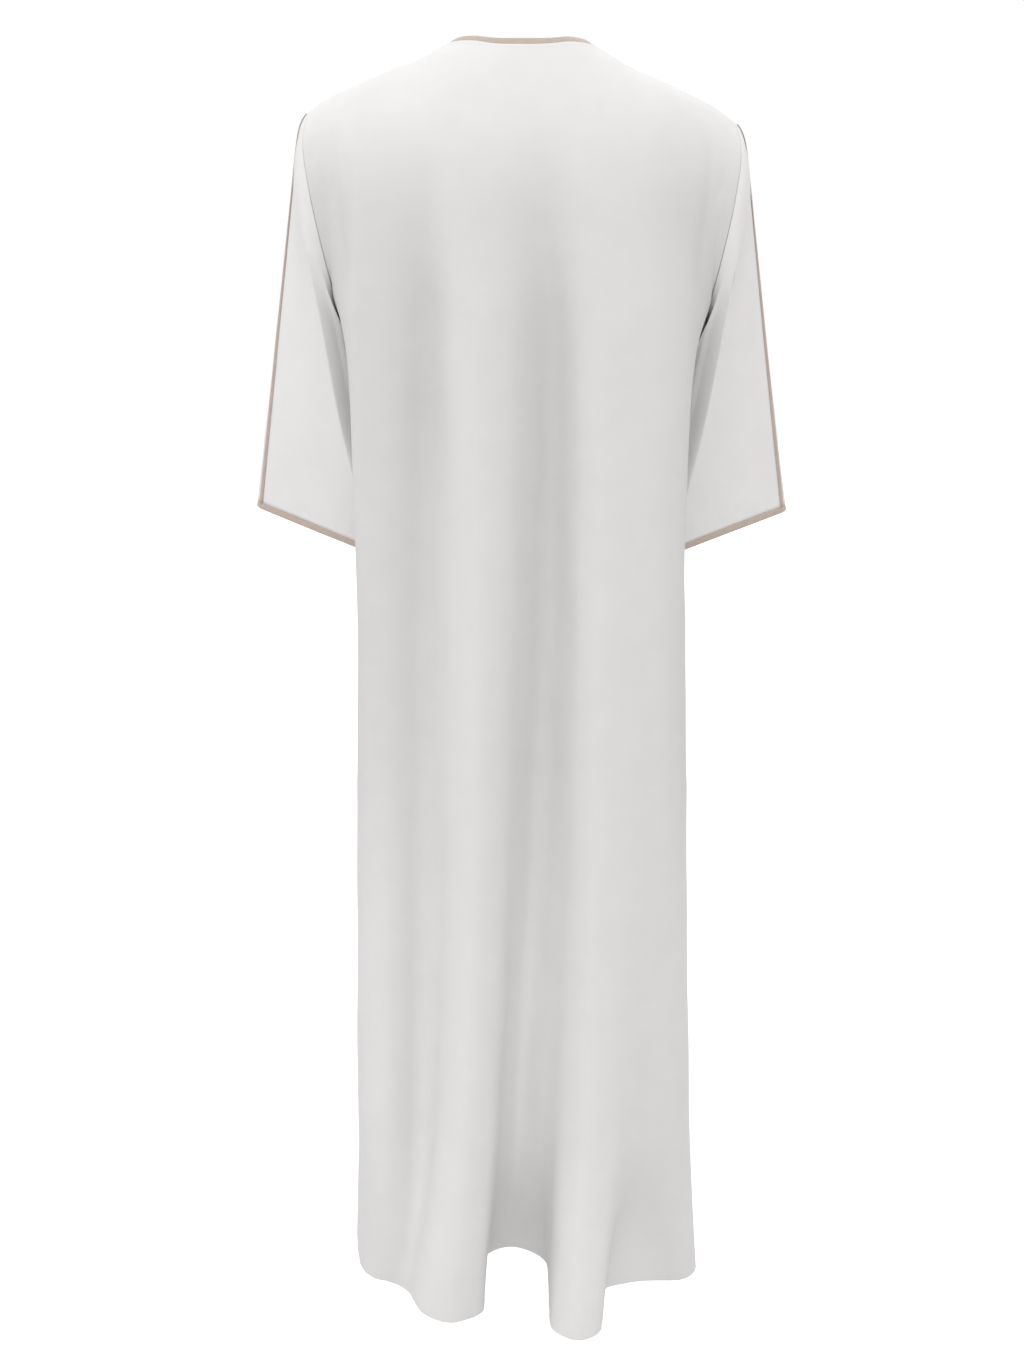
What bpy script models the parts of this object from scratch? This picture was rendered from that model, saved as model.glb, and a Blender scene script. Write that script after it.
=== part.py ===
"""An ankle-length thobe robe in off-white crepe with beige bindings, filled out as it is worn.

Metres, +Z up. The wearer faces -Y, so the back is on the +Y side and the left sleeve on the
+X side. The origin is the middle of the neck opening, where the wearer's shoulders carry the
robe. Nobody is in it: neck, cuffs, armholes and hem are open and the inside is empty.

Each cut piece is a wall of cloth. A grid is laid on a surface that is read at two fractions,
across and down the piece, and is then thickened towards the inside along its normals. Pieces
that are sewn together share their seam's places and normals, so they stay parallel there.
"""
import math

import bmesh
import bpy
import numpy as np

MM = 0.001

# Cloth and trims.
CLOTH_WALL = 1.6 * MM
SEAM_GAP = 0.3 * MM
SHARPEST_SEAM = 0.2
BINDING_WIDTH = 7.0 * MM
BINDING_WALL = 2.4 * MM
PIPING_WIDTH = 6.0 * MM
PIPING_WALL = 1.4 * MM
PIPING_START = 2.0 * MM
PIPING_LIFT = 0.6 * MM

# Shoulder line: how far out, and how high. The neck is cut out of the same surface, so the
# line runs on to the middle above the opening.
SHOULDER_LINE = (
    # out, height (mm)
    (0.0, 26.0),
    (40.0, 17.5),
    (75.5, -3.5),
    (113.0, -24.0),
    (150.0, -39.5),
    (178.0, -51.5),
    (211.0, -68.0),
    (228.5, -81.2),
)
SHOULDER_HALF = 228.5 * MM
SHOULDER_SEAM_Y = -6 * MM

# Neck: round at the back, a V in front that lets the head through.
NECK_HALF = 75.5 * MM
NECK_BACK_REACH = 72 * MM
NECK_BACK_LEAN = 0.65
NECK_V_DROP = 172 * MM

# Armhole: an upright loop whose outward reach changes with its height.
ARMHOLE_TOP = -81.2 * MM
ARMHOLE_BOTTOM = -285 * MM
ARMHOLE_BACK_REACH = 58 * MM
ARMHOLE_FRONT_REACH = 50 * MM
ARMHOLE_LINE = (
    # height, out (mm)
    (-285.0, 197.5),
    (-220.0, 212.5),
    (-161.0, 225.0),
    (-110.0, 232.2),
    (-81.2, 228.5),
)
ARMHOLE_BLEND = 0.17

# The ring that the shoulders hold open at the chest, before any fold.
CHEST_DROP = -ARMHOLE_BOTTOM
CHEST_HALF = 199 * MM
CHEST_BACK_DEPTH = 112 * MM
CHEST_FRONT_DEPTH = 118 * MM
CHEST_SQUARENESS = 4.0
YOKE_ROUNDING = 4
FOLDS_BEGIN = 0.30

# How far each hanging sleeve presses the side of the body in, at each height, and the
# depths between which that press fades out on the back and on the front.
ARM_PRESS = (
    # height, press (mm)
    (-800.0, 0.0),
    (-710.0, 6.0),
    (-620.0, 27.0),
    (-555.0, 42.0),
    (-485.0, 42.0),
    (-400.0, 31.0),
    (-330.0, 14.0),
    (-285.0, 0.0),
)
PRESS_FADE_BACK = (22 * MM, 84 * MM)
PRESS_FADE_FRONT = (90 * MM, 130 * MM)
PRESS_FADE_X = (70 * MM, 160 * MM)

# Folds: one row for each ridge, trough or turn, from the left side seam to the right one.
# Each pair is x and depth (mm) at these drops below the origin. Lift raises the hem there.
FOLD_DROPS = np.array([285, 750, 1170, 1365]) * MM
BACK_FOLDS = (
    # line               chest          hip            shin           hem            lift
    ("left_seam",        (197.5, 0),    (178, 0),      (184, 0),      (190, 0),      0),
    ("left_side",        (199, 32),     (183, 36),     (185, 40),     (183, 46),     0),
    ("left_ridge",       (180, 86),     (176, 78),     (175, 76),     (166, 82),     1),
    ("left_small_ridge", (144, 100),    (143, 99),     (147, 103),    (147, 96),     2),
    ("left_trough",      (106, 103),    (109, 96),     (116, 98),     (128, 114),    0),
    ("left_lobe_rise",   (76, 113),     (80, 118),     (90, 129),     (108, 161),    -10),
    ("left_lobe_crest",  (48, 121),     (53, 136),     (65, 152),     (78, 173),     -12),
    ("left_lobe_fall",   (22, 115),     (28, 125),     (40, 137),     (47, 150),     -8),
    ("middle_foot",      (-4, 106),     (3, 104),      (18, 86),      (40, 48),      10),
    ("middle_trough",    (-26, 102),    (-21, 95),     (3, 69),       (12, 30),      16),
    ("right_foot",       (-44, 106),    (-40, 103),    (-22, 84),     (-27, 60),     8),
    ("right_lobe_rise",  (-63, 114),    (-61, 125),    (-50, 140),    (-34, 180),    -12),
    ("right_lobe_crest", (-81, 118),    (-79, 133),    (-72, 158),    (-63, 211),    -15),
    ("right_lobe_fall",  (-100, 114),   (-98, 124),    (-92, 142),    (-89, 191),    -13),
    ("right_hollow",     (-126, 108),   (-122, 111),   (-114, 110),   (-98, 106),    -1),
    ("right_plain",      (-152, 100),   (-148, 102),   (-146, 98),    (-134, 86),    -1),
    ("right_ridge",      (-178, 86),    (-178, 78),    (-179, 78),    (-182, 80),    -2),
    ("right_side",       (-199, 32),    (-183, 36),    (-190, 42),    (-199, 48),    0),
    ("right_seam",       (-197.5, 0),   (-178, 0),     (-187, 0),     (-195, 0),     0),
)
FRONT_FOLDS = (
    # line               chest          hip            shin           hem            lift
    ("left_seam",        (197.5, 0),    (178, 0),      (184, 0),      (190, 0),      0),
    ("left_side",        (199, 32),     (183, 40),     (188, 46),     (193, 52),     0),
    ("left_ridge",       (180, 88),     (166, 104),    (166, 120),    (168, 132),    -3),
    ("left_trough",      (130, 107),    (124, 104),    (118, 98),     (114, 86),     7),
    ("left_lobe_rise",   (96, 116),     (92, 124),     (88, 132),     (84, 150),     -4),
    ("left_lobe_crest",  (68, 121),     (66, 137),     (60, 158),     (54, 180),     -9),
    ("left_lobe_fall",   (38, 119),     (38, 128),     (32, 134),     (26, 152),     -4),
    ("middle_trough",    (4, 114),      (6, 112),      (2, 102),      (-4, 84),      10),
    ("right_lobe_rise",  (-30, 118),    (-26, 124),    (-30, 130),    (-36, 146),    -4),
    ("right_lobe_crest", (-62, 121),    (-58, 136),    (-60, 156),    (-68, 186),    -10),
    ("right_lobe_fall",  (-92, 117),    (-88, 126),    (-90, 136),    (-98, 156),    -4),
    ("right_trough",     (-124, 108),   (-120, 105),   (-122, 98),    (-130, 92),    6),
    ("right_ridge",      (-178, 88),    (-165, 102),   (-168, 117),   (-174, 128),   -3),
    ("right_side",       (-199, 32),    (-184, 40),    (-191, 46),    (-200, 52),    0),
    ("right_seam",       (-197.5, 0),   (-178, 0),     (-187, 0),     (-195, 0),     0),
)

# The left shoulder sits a little higher: rise for each metre out, fading between drops.
SHOULDER_LEAN = 0.024
LEAN_FADES = (300 * MM, 620 * MM)

# Sleeve: lines that run from the armhole to the cuff, one row each, from the over-arm seam
# to the underarm seam. Turn is degrees round the armhole from the shoulder tip; x and y are
# at the cuff (mm).
SLEEVE_BACK_LINES = (
    # line               turn   x      y
    ("over_arm",         0,     290,   -34),
    ("outer_back",       26,    268,   -24),
    ("back",             58,    226,   -9),
    ("back_crease",      92,    168,   7),
    ("inner_back",       135,   157,   -12),
    ("underarm",         180,   154,   -40),
)
SLEEVE_FRONT_LINES = (
    # line               turn   x      y
    ("over_arm",         0,     290,   -34),
    ("outer_edge",       20,    294.5, -47),
    ("outer_front",      46,    276,   -62),
    ("front",            84,    222,   -77),
    ("front_crease",     112,   170,   -87),
    ("inner_front",      146,   157,   -70),
    ("underarm",         180,   154,   -40),
)
CUFF_OUTER_X = 294.5 * MM
CUFF_OUTER_Z = -498.5 * MM
CUFF_SLOPE = 0.35

# How far the sleeve rolls out of the armhole before it hangs, at its top and underarm.
CAP_ROLL = 9 * MM
UNDERARM_ROLL = 4 * MM
CAP_ROLL_DEPTH = 4 * MM
CAP_ROLL_SHARE = 0.022
UNDERARM_STANDOFF = 0.7 * MM

# Grids.
SHOULDER_COLUMNS = 11
NECK_COLUMNS = 16
NECK_COLUMNS_NEAR_CORNER = 0.6
YOKE_ROWS = 8
SKIRT_ROWS = 13
SLEEVE_ROWS = 12
ROWS_NEAR_ARMHOLE = 1.4
RING_STEPS = 240
NORMAL_STEP = 0.004
JOIN_WITHIN = 0.001 * MM
NO_LENGTH = 1e-12
SHARP_FROM = math.radians(50)

# Finishes: name, colour, roughness, metallic.
CREPE = ("off_white_crepe", (0.80, 0.80, 0.79), 0.72, 0.0)
TAPE = ("beige_tape", (0.60, 0.49, 0.41), 0.66, 0.0)


def clear_scene():
    for thing in list(bpy.data.objects):
        bpy.data.objects.remove(thing, do_unlink=True)


def finish(name, colour, roughness, metallic):
    """The material of that name, made the first time that it is asked for."""
    material = bpy.data.materials.get(name)
    if material:
        return material
    material = bpy.data.materials.new(name)
    material.use_nodes = True
    material.diffuse_color = (*colour, 1.0)
    shader = material.node_tree.nodes["Principled BSDF"]
    shader.inputs["Base Color"].default_value = (*colour, 1.0)
    shader.inputs["Roughness"].default_value = roughness
    shader.inputs["Metallic"].default_value = metallic
    return material


# Curves ---------------------------------------------------------------------------------


def curve_through(knots, values, at):
    """A smooth curve through the values at the knots, which never overshoots them.

    Values holds one row of heights for each place in `at`, or one row for all of them.
    """
    knots = np.asarray(knots, float)
    at = np.clip(np.asarray(at, float), knots[0], knots[-1])
    values = np.broadcast_to(np.atleast_2d(values), (len(at), len(knots)))
    step = np.diff(knots)
    slope = np.diff(values, axis=1) / step
    before, after = slope[:, :-1], slope[:, 1:]
    weight_before = step[:-1] + 2 * step[1:]
    weight_after = 2 * step[:-1] + step[1:]
    same_way = before * after > 0
    mean = (weight_before + weight_after) / (
        weight_before / np.where(same_way, before, 1.0) + weight_after / np.where(same_way, after, 1.0)
    )
    tangent = np.concatenate((slope[:, :1], np.where(same_way, mean, 0.0), slope[:, -1:]), axis=1)
    cell = np.clip(np.searchsorted(knots, at, side="right") - 1, 0, len(step) - 1)
    row = np.arange(len(at))
    rise = step[cell]
    t = (at - knots[cell]) / rise
    return (
        (2 * t**3 - 3 * t**2 + 1) * values[row, cell]
        + (t**3 - 2 * t**2 + t) * rise * tangent[row, cell]
        + (3 * t**2 - 2 * t**3) * values[row, cell + 1]
        + (t**3 - t**2) * rise * tangent[row, cell + 1]
    )


def read_table(table, at):
    """The second column of a table in millimetres, read at places in metres on its first."""
    first, second = np.array(table, float).T * MM
    return curve_through(first, second, at)


def ease(low, high, value):
    """0 below low, 1 above high, and a soft step between them."""
    t = np.clip((value - low) / (high - low), 0.0, 1.0)
    return t * t * (3 - 2 * t)


def stacked(x, y, z):
    x, y, z = np.broadcast_arrays(x, y, z)
    return np.stack((x, y, z), axis=-1)


def spaced_by(strides):
    """Fractions from 0 to 1 at the ends of steps of the given lengths."""
    reach = np.concatenate(((0.0,), np.cumsum(strides)))
    return reach / reach[-1]


def armhole_line(reach, hand, turn):
    """The armhole seam; turn is 0 at the shoulder tip and pi at the underarm."""
    middle = (ARMHOLE_TOP + ARMHOLE_BOTTOM) / 2
    radius = (ARMHOLE_TOP - ARMHOLE_BOTTOM) / 2
    z = middle + radius * np.cos(turn)
    x = hand * read_table(ARMHOLE_LINE, z)
    y = SHOULDER_SEAM_Y * (1 + np.cos(turn)) / 2 + reach * np.sin(turn)
    return stacked(x, y, z)


# Body -----------------------------------------------------------------------------------


class BodyPanel:
    """The surface of the back or the front, read at fractions across and down.

    Across runs from the left side seam, 0, to the right side seam, 1. Down runs from the
    shoulder line, 0, past the chest, 1, to the hem, 2. The surface has no neck cut out of
    it: the neck is where the grid begins.
    """

    def __init__(self, side, folds, chest_depth, armhole_reach, press_fade):
        self.side = side
        self.chest_depth = chest_depth
        self.armhole_reach = side * armhole_reach
        self.press_fade = press_fade
        pairs = np.array([row[1:5] for row in folds], float) * MM
        self.fold_x = pairs[:, :, 0]
        self.fold_depth = pairs[:, :, 1]
        self.lift = np.array([row[5] for row in folds], float) * MM
        self.fold_across = spaced_by(np.linalg.norm(np.diff(pairs, axis=0), axis=2).mean(axis=1))

    def plain_ring(self, across):
        """The chest ring without its folds, at even spacing round it."""
        turn = np.linspace(0.0, math.pi, RING_STEPS + 1)
        power = 2 / CHEST_SQUARENESS
        x = CHEST_HALF * np.sign(np.cos(turn)) * np.abs(np.cos(turn)) ** power
        y = self.chest_depth * np.sin(turn) ** power
        fraction = spaced_by(np.hypot(np.diff(x), np.diff(y)))
        return np.interp(across, fraction, x), self.side * np.interp(across, fraction, y)

    def folded(self, across, drop):
        """The folded cloth at a drop below the origin, from the chest to the hem."""
        x_lines = np.stack([curve_through(FOLD_DROPS, line, drop) for line in self.fold_x], axis=1)
        depths = np.stack([curve_through(FOLD_DROPS, line, drop) for line in self.fold_depth], axis=1)
        x = curve_through(self.fold_across, x_lines, across)
        depth = curve_through(self.fold_across, depths, across)
        beside_arm = (1 - ease(*self.press_fade, depth)) * ease(*PRESS_FADE_X, np.abs(x))
        x = x - np.sign(x) * read_table(ARM_PRESS, -drop) * beside_arm
        lift = curve_through(self.fold_across, self.lift, across) * ease(*FOLD_DROPS[2:], drop)
        return stacked(x, self.side * depth, lift - drop)

    def yoke(self, across, down):
        """From the shoulder line, 0, to the chest, 1, as if no neck were cut out of it."""
        chest = self.folded(across, np.full_like(across, CHEST_DROP))
        plain_x, plain_y = self.plain_ring(across)
        inward = ease(0.0, 1.0, down)
        reach = 1 - (1 - down) ** YOKE_ROUNDING
        fall = (1 - np.cos(math.pi * down)) / 2
        folds = ease(FOLDS_BEGIN, 1.0, down)
        top_x = SHOULDER_HALF * (1 - 2 * across)
        top_z = read_table(SHOULDER_LINE, np.abs(top_x))
        x = top_x + (plain_x - top_x) * inward + (chest[:, 0] - plain_x) * folds
        y = SHOULDER_SEAM_Y + (plain_y - SHOULDER_SEAM_Y) * reach + (chest[:, 1] - plain_y) * folds
        z = top_z + (chest[:, 2] - top_z) * fall
        surface = stacked(x, y, z)
        side_x = SHOULDER_HALF + (CHEST_HALF - SHOULDER_HALF) * inward
        side_x = side_x + (ARMHOLE_LINE[0][1] * MM - CHEST_HALF) * folds
        side_z = ARMHOLE_TOP + (ARMHOLE_BOTTOM - ARMHOLE_TOP) * fall
        for hand in (1, -1):
            plain_edge = stacked(hand * side_x, SHOULDER_SEAM_Y * (1 - reach), side_z)
            armhole = armhole_line(self.armhole_reach, hand, math.pi * down)
            from_edge = across if hand > 0 else 1 - across
            near = np.clip(1 - from_edge / ARMHOLE_BLEND, 0.0, 1.0) ** 2
            surface = surface + near[:, None] * (armhole - plain_edge)
        return surface

    def neck_depth(self, across, inset):
        """How far down the yoke the neck edge lies, moved by inset towards the opening."""
        half = NECK_HALF - inset
        x = SHOULDER_HALF * np.abs(1 - 2 * across)
        inside = np.clip(1 - x / half, 0.0, 1.0)
        if self.side > 0:
            reach = NECK_BACK_REACH - NECK_BACK_LEAN * inset
            _, plain_y = self.plain_ring(across)
            y = reach * np.sqrt(1 - (1 - inside) ** 2)
            return 1 - (1 - y / (plain_y - SHOULDER_SEAM_Y)) ** (1 / YOKE_ROUNDING)
        drop = NECK_V_DROP - inset * math.hypot(NECK_HALF, NECK_V_DROP) / NECK_HALF
        top_z = read_table(SHOULDER_LINE, x)
        edge_z = read_table(SHOULDER_LINE, np.full_like(x, half)) - drop * inside
        return np.arccos(1 - 2 * np.clip((top_z - edge_z) / (top_z + CHEST_DROP), 0.0, 1.0)) / math.pi

    def surface(self, across, down):
        drop = CHEST_DROP + (FOLD_DROPS[-1] - CHEST_DROP) * np.clip(down - 1, 0.0, 1.0)
        upper = self.yoke(across, np.clip(down, 0.0, 1.0))
        lower = self.folded(across, drop)
        return np.where((down > 1.0)[:, None], lower, upper)

    def neck_edge(self, along, inset):
        """The neck edge from the left shoulder seam, 0, to the right one, 1."""
        half = (NECK_HALF - inset) / SHOULDER_HALF
        across = 0.5 - half * self.neck_spread(along) / 2
        return self.yoke(across, self.neck_depth(across, inset))

    def neck_spread(self, along):
        """How far to the left along the neck, from 1 to -1, each step round its edge is."""
        even = 1 - 2 * along
        if self.side > 0:
            return even + (np.cos(math.pi * along) - even) * NECK_COLUMNS_NEAR_CORNER
        return even

    def grid(self):
        """The fractions across and down of the cloth, with a column on each neck corner."""
        half = NECK_HALF / SHOULDER_HALF
        shoulder = np.linspace(0.0, 0.5 - half / 2, SHOULDER_COLUMNS + 1)
        neck = 0.5 - half * self.neck_spread(np.linspace(0, 1, NECK_COLUMNS + 1)[1:-1]) / 2
        across = np.concatenate((shoulder, neck, 1 - shoulder[::-1]))
        start = self.neck_depth(across, 0.0)
        yoke = start + (1 - start) * np.linspace(0.0, 1.0, YOKE_ROWS + 1)[:, None]
        skirt = np.linspace(1.0, 2.0, SKIRT_ROWS + 1)[1:, None]
        return across, np.concatenate((yoke, np.broadcast_to(skirt, (SKIRT_ROWS, len(across)))))


# Sleeves --------------------------------------------------------------------------------


class SleeveHalf:
    """The surface of one half of a sleeve, read at fractions round and down.

    Round runs from the over-arm seam, 0, to the underarm seam, 1. Down runs from the
    armhole, 0, to the cuff, 1.
    """

    def __init__(self, hand, side, lines, reach):
        self.hand = hand
        self.side = side
        self.reach = side * reach
        turn, x, y = np.array([row[1:] for row in lines], float).T
        self.line_turns = np.radians(turn)
        self.cuff_x = x * MM
        self.cuff_y = y * MM

    def surface(self, round_half, down):
        turn = math.pi * round_half
        armhole = armhole_line(self.reach, 1, turn)
        x = curve_through(self.line_turns, self.cuff_x, turn)
        y = curve_through(self.line_turns, self.cuff_y, turn)
        cuff = stacked(x, y, CUFF_OUTER_Z - CUFF_SLOPE * (CUFF_OUTER_X - x))
        below = (1 - np.cos(turn)) / 2
        roll = stacked(
            CAP_ROLL + (UNDERARM_ROLL - CAP_ROLL) * below,
            CAP_ROLL_DEPTH * self.side * np.sin(turn),
            0.0,
        )
        rolled = (1 - down) * (1 - np.exp(-down / CAP_ROLL_SHARE))
        points = armhole + (cuff - armhole) * down[:, None] + roll * rolled[:, None]
        points[:, 0] += UNDERARM_STANDOFF * below * (1 - down)
        return points * np.array([self.hand, 1, 1])


# Walls ----------------------------------------------------------------------------------


def leaning(places):
    """Places of the upright robe, as they lie with its left shoulder higher."""
    moved = places.copy()
    moved[..., 2] += SHOULDER_LEAN * places[..., 0] * (1 - ease(*LEAN_FADES, -places[..., 2]))
    return moved


def read_grid(surface, across, down, outward):
    """Places and outward normals of a surface on a grid, one row for each step down."""
    shape = np.broadcast_shapes(across.shape, down.shape)
    a = np.broadcast_to(across, shape).ravel()
    d = np.broadcast_to(down, shape).ravel()
    step = NORMAL_STEP
    along = surface(np.minimum(a + step, 1.0), d) - surface(np.maximum(a - step, 0.0), d)
    fall = surface(a, np.minimum(d + step, d.max())) - surface(a, np.maximum(d - step, 0.0))
    normals = np.cross(along, fall) * outward
    return surface(a, d).reshape(*shape, 3), unit(normals).reshape(*shape, 3)


def unit(vectors):
    return vectors / np.maximum(np.linalg.norm(vectors, axis=-1, keepdims=True), NO_LENGTH)


def share_normals(first, second):
    """Gives two sewn edges the same normals, where the cloth doesn't fold back on itself."""
    both = unit(first + second)
    flat = np.sum(first * second, axis=-1) > SHARPEST_SEAM
    first[flat] = both[flat]
    second[flat] = both[flat]


def way_in(edge, next_to_it, normals, tangent):
    """The directions that leave an edge squarely, on the surface and into the piece."""
    way = unit(np.cross(normals, tangent))
    return way * np.sign(np.sum(way * (next_to_it - edge)))


def draw_in(places, normals, distance):
    """Moves all four edges of a grid into the piece."""
    moved = places.copy()
    for here, beside in ((0, 1), (-1, -2)):
        side = (places[:, here], places[:, beside], normals[:, here])
        moved[:, here] += way_in(*side, np.gradient(places[:, here], axis=0)) * distance
        end = (places[here], places[beside], normals[here])
        moved[here] += way_in(*end, np.gradient(places[here], axis=0)) * distance
    return moved


def wall(name, outside, inside, look, closed=False):
    """A solid between two grids of places: a sheet laid on the outside one and extruded.

    Closed joins the last column of the grids to the first.
    """
    outside = leaning(outside)
    inside = leaning(inside)
    rows, columns, _ = outside.shape
    spans = columns if closed else columns - 1
    sheet = bmesh.new()
    bmesh.ops.create_grid(sheet, x_segments=spans, y_segments=rows - 1, size=0.5)
    under = sheet.verts.layers.float_vector.new("inside")
    for index, vert in enumerate(sheet.verts):
        row, column = divmod(index, spans + 1)
        vert.co = outside[row, column % columns]
        vert[under] = inside[row, column % columns]
    if closed:
        bmesh.ops.remove_doubles(sheet, verts=sheet.verts, dist=JOIN_WITHIN)
    grown = bmesh.ops.extrude_face_region(sheet, geom=list(sheet.faces))
    for part in grown["geom"]:
        if isinstance(part, bmesh.types.BMVert):
            part.co = part[under]
    bmesh.ops.triangulate(sheet, faces=sheet.faces)
    bmesh.ops.recalc_face_normals(sheet, faces=sheet.faces)
    mesh = bpy.data.meshes.new(name)
    sheet.to_mesh(mesh)
    sheet.free()
    mesh.shade_smooth()
    mesh.set_sharp_from_angle(angle=SHARP_FROM)
    mesh.materials.append(finish(*look))
    piece = bpy.data.objects.new(name, mesh)
    bpy.context.scene.collection.objects.link(piece)


def cloth_wall(name, places, normals):
    """A cut piece: the cloth's outer face is the grid, drawn in from its seams."""
    places = draw_in(places, normals, SEAM_GAP / 2)
    wall(name, places, places - normals * CLOTH_WALL, CREPE)


def tape_wall(name, edge, way, normals):
    """A closed ring of tape that goes on from a cloth edge the given way, thicker than it."""
    places = np.stack((edge + way * SEAM_GAP / 2, edge + way * (SEAM_GAP / 2 + BINDING_WIDTH)))
    outer = places + normals * (BINDING_WALL - CLOTH_WALL) / 2
    wall(name, outer, outer - normals * BINDING_WALL, TAPE, closed=True)


# Pieces ---------------------------------------------------------------------------------


def body_and_sleeves():
    back = BodyPanel(1, BACK_FOLDS, CHEST_BACK_DEPTH, ARMHOLE_BACK_REACH, PRESS_FADE_BACK)
    front = BodyPanel(-1, FRONT_FOLDS, CHEST_FRONT_DEPTH, ARMHOLE_FRONT_REACH, PRESS_FADE_FRONT)
    back_places, back_normals = read_grid(back.surface, *back.grid(), -1)
    front_places, front_normals = read_grid(front.surface, *front.grid(), 1)
    for column in (0, -1):
        share_normals(back_normals[:, column], front_normals[:, column])
    share_normals(back_normals[0, :SHOULDER_COLUMNS], front_normals[0, :SHOULDER_COLUMNS])
    share_normals(back_normals[0, -SHOULDER_COLUMNS:], front_normals[0, -SHOULDER_COLUMNS:])
    neck_binding(back, front)
    armhole = slice(0, YOKE_ROWS + 1)
    sleeve("left", 1, back_normals[armhole, 0], front_normals[armhole, 0])
    sleeve("right", -1, back_normals[armhole, -1], front_normals[armhole, -1])
    cloth_wall("back_panel", back_places, back_normals)
    cloth_wall("front_panel", front_places, front_normals)


def ring_tangent(ring):
    return np.roll(ring, -1, axis=0) - np.roll(ring, 1, axis=0)


def neck_binding(back, front):
    """Tape round the neck, edge to edge with the cloth and on the same surface."""
    along = np.linspace(0.0, 1.0, NECK_COLUMNS + 1)
    rings = []
    for inset in (0.0, BINDING_WIDTH):
        over_back = back.neck_edge(along, inset)
        over_front = front.neck_edge(along, inset)
        rings.append(np.concatenate((over_back[:-1], over_front[::-1][:-1])))
    edge, opening = rings
    normals = unit(np.cross(ring_tangent(edge), opening - edge))
    tape_wall("neck_binding", edge, (opening - edge) / BINDING_WIDTH, normals)


def sleeve(label, hand, back_armhole, front_armhole):
    """One sleeve: its two halves, the piping over their seam and the tape round its cuff.

    The armhole normals are the body's, and are shared with the sleeve.
    """
    round_half = np.linspace(0.0, 1.0, YOKE_ROWS + 1)
    down = np.linspace(0.0, 1.0, SLEEVE_ROWS + 1)[:, None] ** ROWS_NEAR_ARMHOLE
    back = SleeveHalf(hand, 1, SLEEVE_BACK_LINES, ARMHOLE_BACK_REACH)
    front = SleeveHalf(hand, -1, SLEEVE_FRONT_LINES, ARMHOLE_FRONT_REACH)
    back_places, back_normals = read_grid(back.surface, round_half, down, -hand)
    front_places, front_normals = read_grid(front.surface, round_half, down, hand)
    share_normals(back_armhole, back_normals[0])
    share_normals(front_armhole, front_normals[0])
    for column in (0, -1):
        share_normals(back_normals[1:, column], front_normals[1:, column])
    cloth_wall(f"{label}_sleeve_back", back_places, back_normals)
    cloth_wall(f"{label}_sleeve_front", front_places, front_normals)
    arm_piping(f"{label}_arm_piping", back_places, front_places, back_normals[:, 0])
    above, edge = np.concatenate((back_places[-2:], front_places[-2:, ::-1][:, 1:-1]), axis=1)
    normals = np.concatenate((back_normals[-1], front_normals[-1, ::-1][1:-1]))
    way = -way_in(edge, above, normals, ring_tangent(edge))
    tape_wall(f"{label}_cuff_binding", edge, way, normals)


def arm_piping(name, back, front, normals):
    """Flat tape over the over-arm seam, made from the sleeve's places, moved out."""
    seam = back[:, 0]
    half_width = PIPING_WIDTH / 2
    to_back = unit(back[:, 1] - seam) * half_width
    to_front = unit(front[:, 1] - seam) * half_width
    under = np.stack((seam + to_back, seam, seam + to_front), axis=1)
    under[0] += unit(under[1] - under[0]) * PIPING_START
    lift = normals[:, None]
    wall(name, under + lift * (PIPING_LIFT + PIPING_WALL), under + lift * PIPING_LIFT, TAPE)


def build_robe():
    clear_scene()
    body_and_sleeves()


if __name__ == "__main__":
    build_robe()
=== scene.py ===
"""The looks of an ankle-length thobe robe in off-white crepe, bound with beige tape.

Metres, +Z up. The wearer faces -Y, so the back is on the +Y side and the left sleeve on the
+X side. The cloth is laid on the forms of its solids in a finer grid, with its soft creases,
hem turning and stitches, and the tapes are folded strips.
"""
import math

import bmesh
import bpy
import numpy as np
from bpy.props import FloatProperty, FloatVectorProperty, PointerProperty
from bpy.types import Operator, Panel, PropertyGroup
from mathutils import Matrix, Vector
from mathutils.bvhtree import BVHTree


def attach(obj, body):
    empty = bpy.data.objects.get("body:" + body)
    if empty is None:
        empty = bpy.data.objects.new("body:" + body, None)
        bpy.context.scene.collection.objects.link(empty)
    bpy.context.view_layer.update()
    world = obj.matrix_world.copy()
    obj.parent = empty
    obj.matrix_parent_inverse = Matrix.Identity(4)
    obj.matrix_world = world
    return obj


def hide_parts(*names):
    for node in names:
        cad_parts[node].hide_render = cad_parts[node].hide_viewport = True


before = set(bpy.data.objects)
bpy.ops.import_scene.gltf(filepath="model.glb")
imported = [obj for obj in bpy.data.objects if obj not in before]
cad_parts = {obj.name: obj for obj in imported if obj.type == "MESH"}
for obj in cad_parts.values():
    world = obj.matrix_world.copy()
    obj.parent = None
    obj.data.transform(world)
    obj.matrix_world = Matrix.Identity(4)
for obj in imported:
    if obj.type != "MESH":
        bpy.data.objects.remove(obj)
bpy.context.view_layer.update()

bl_info = {
    "name": "Thobe Robe",
    "version": (1, 0, 0),
    "blender": (4, 5, 0),
    "location": "3D View > Sidebar > Robe",
    "description": "Cuts, folds and stitches a thobe robe around its frame",
    "category": "Object",
}

MM = 0.001

# The form of the cloth -------------------------------------------------------------------

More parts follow.
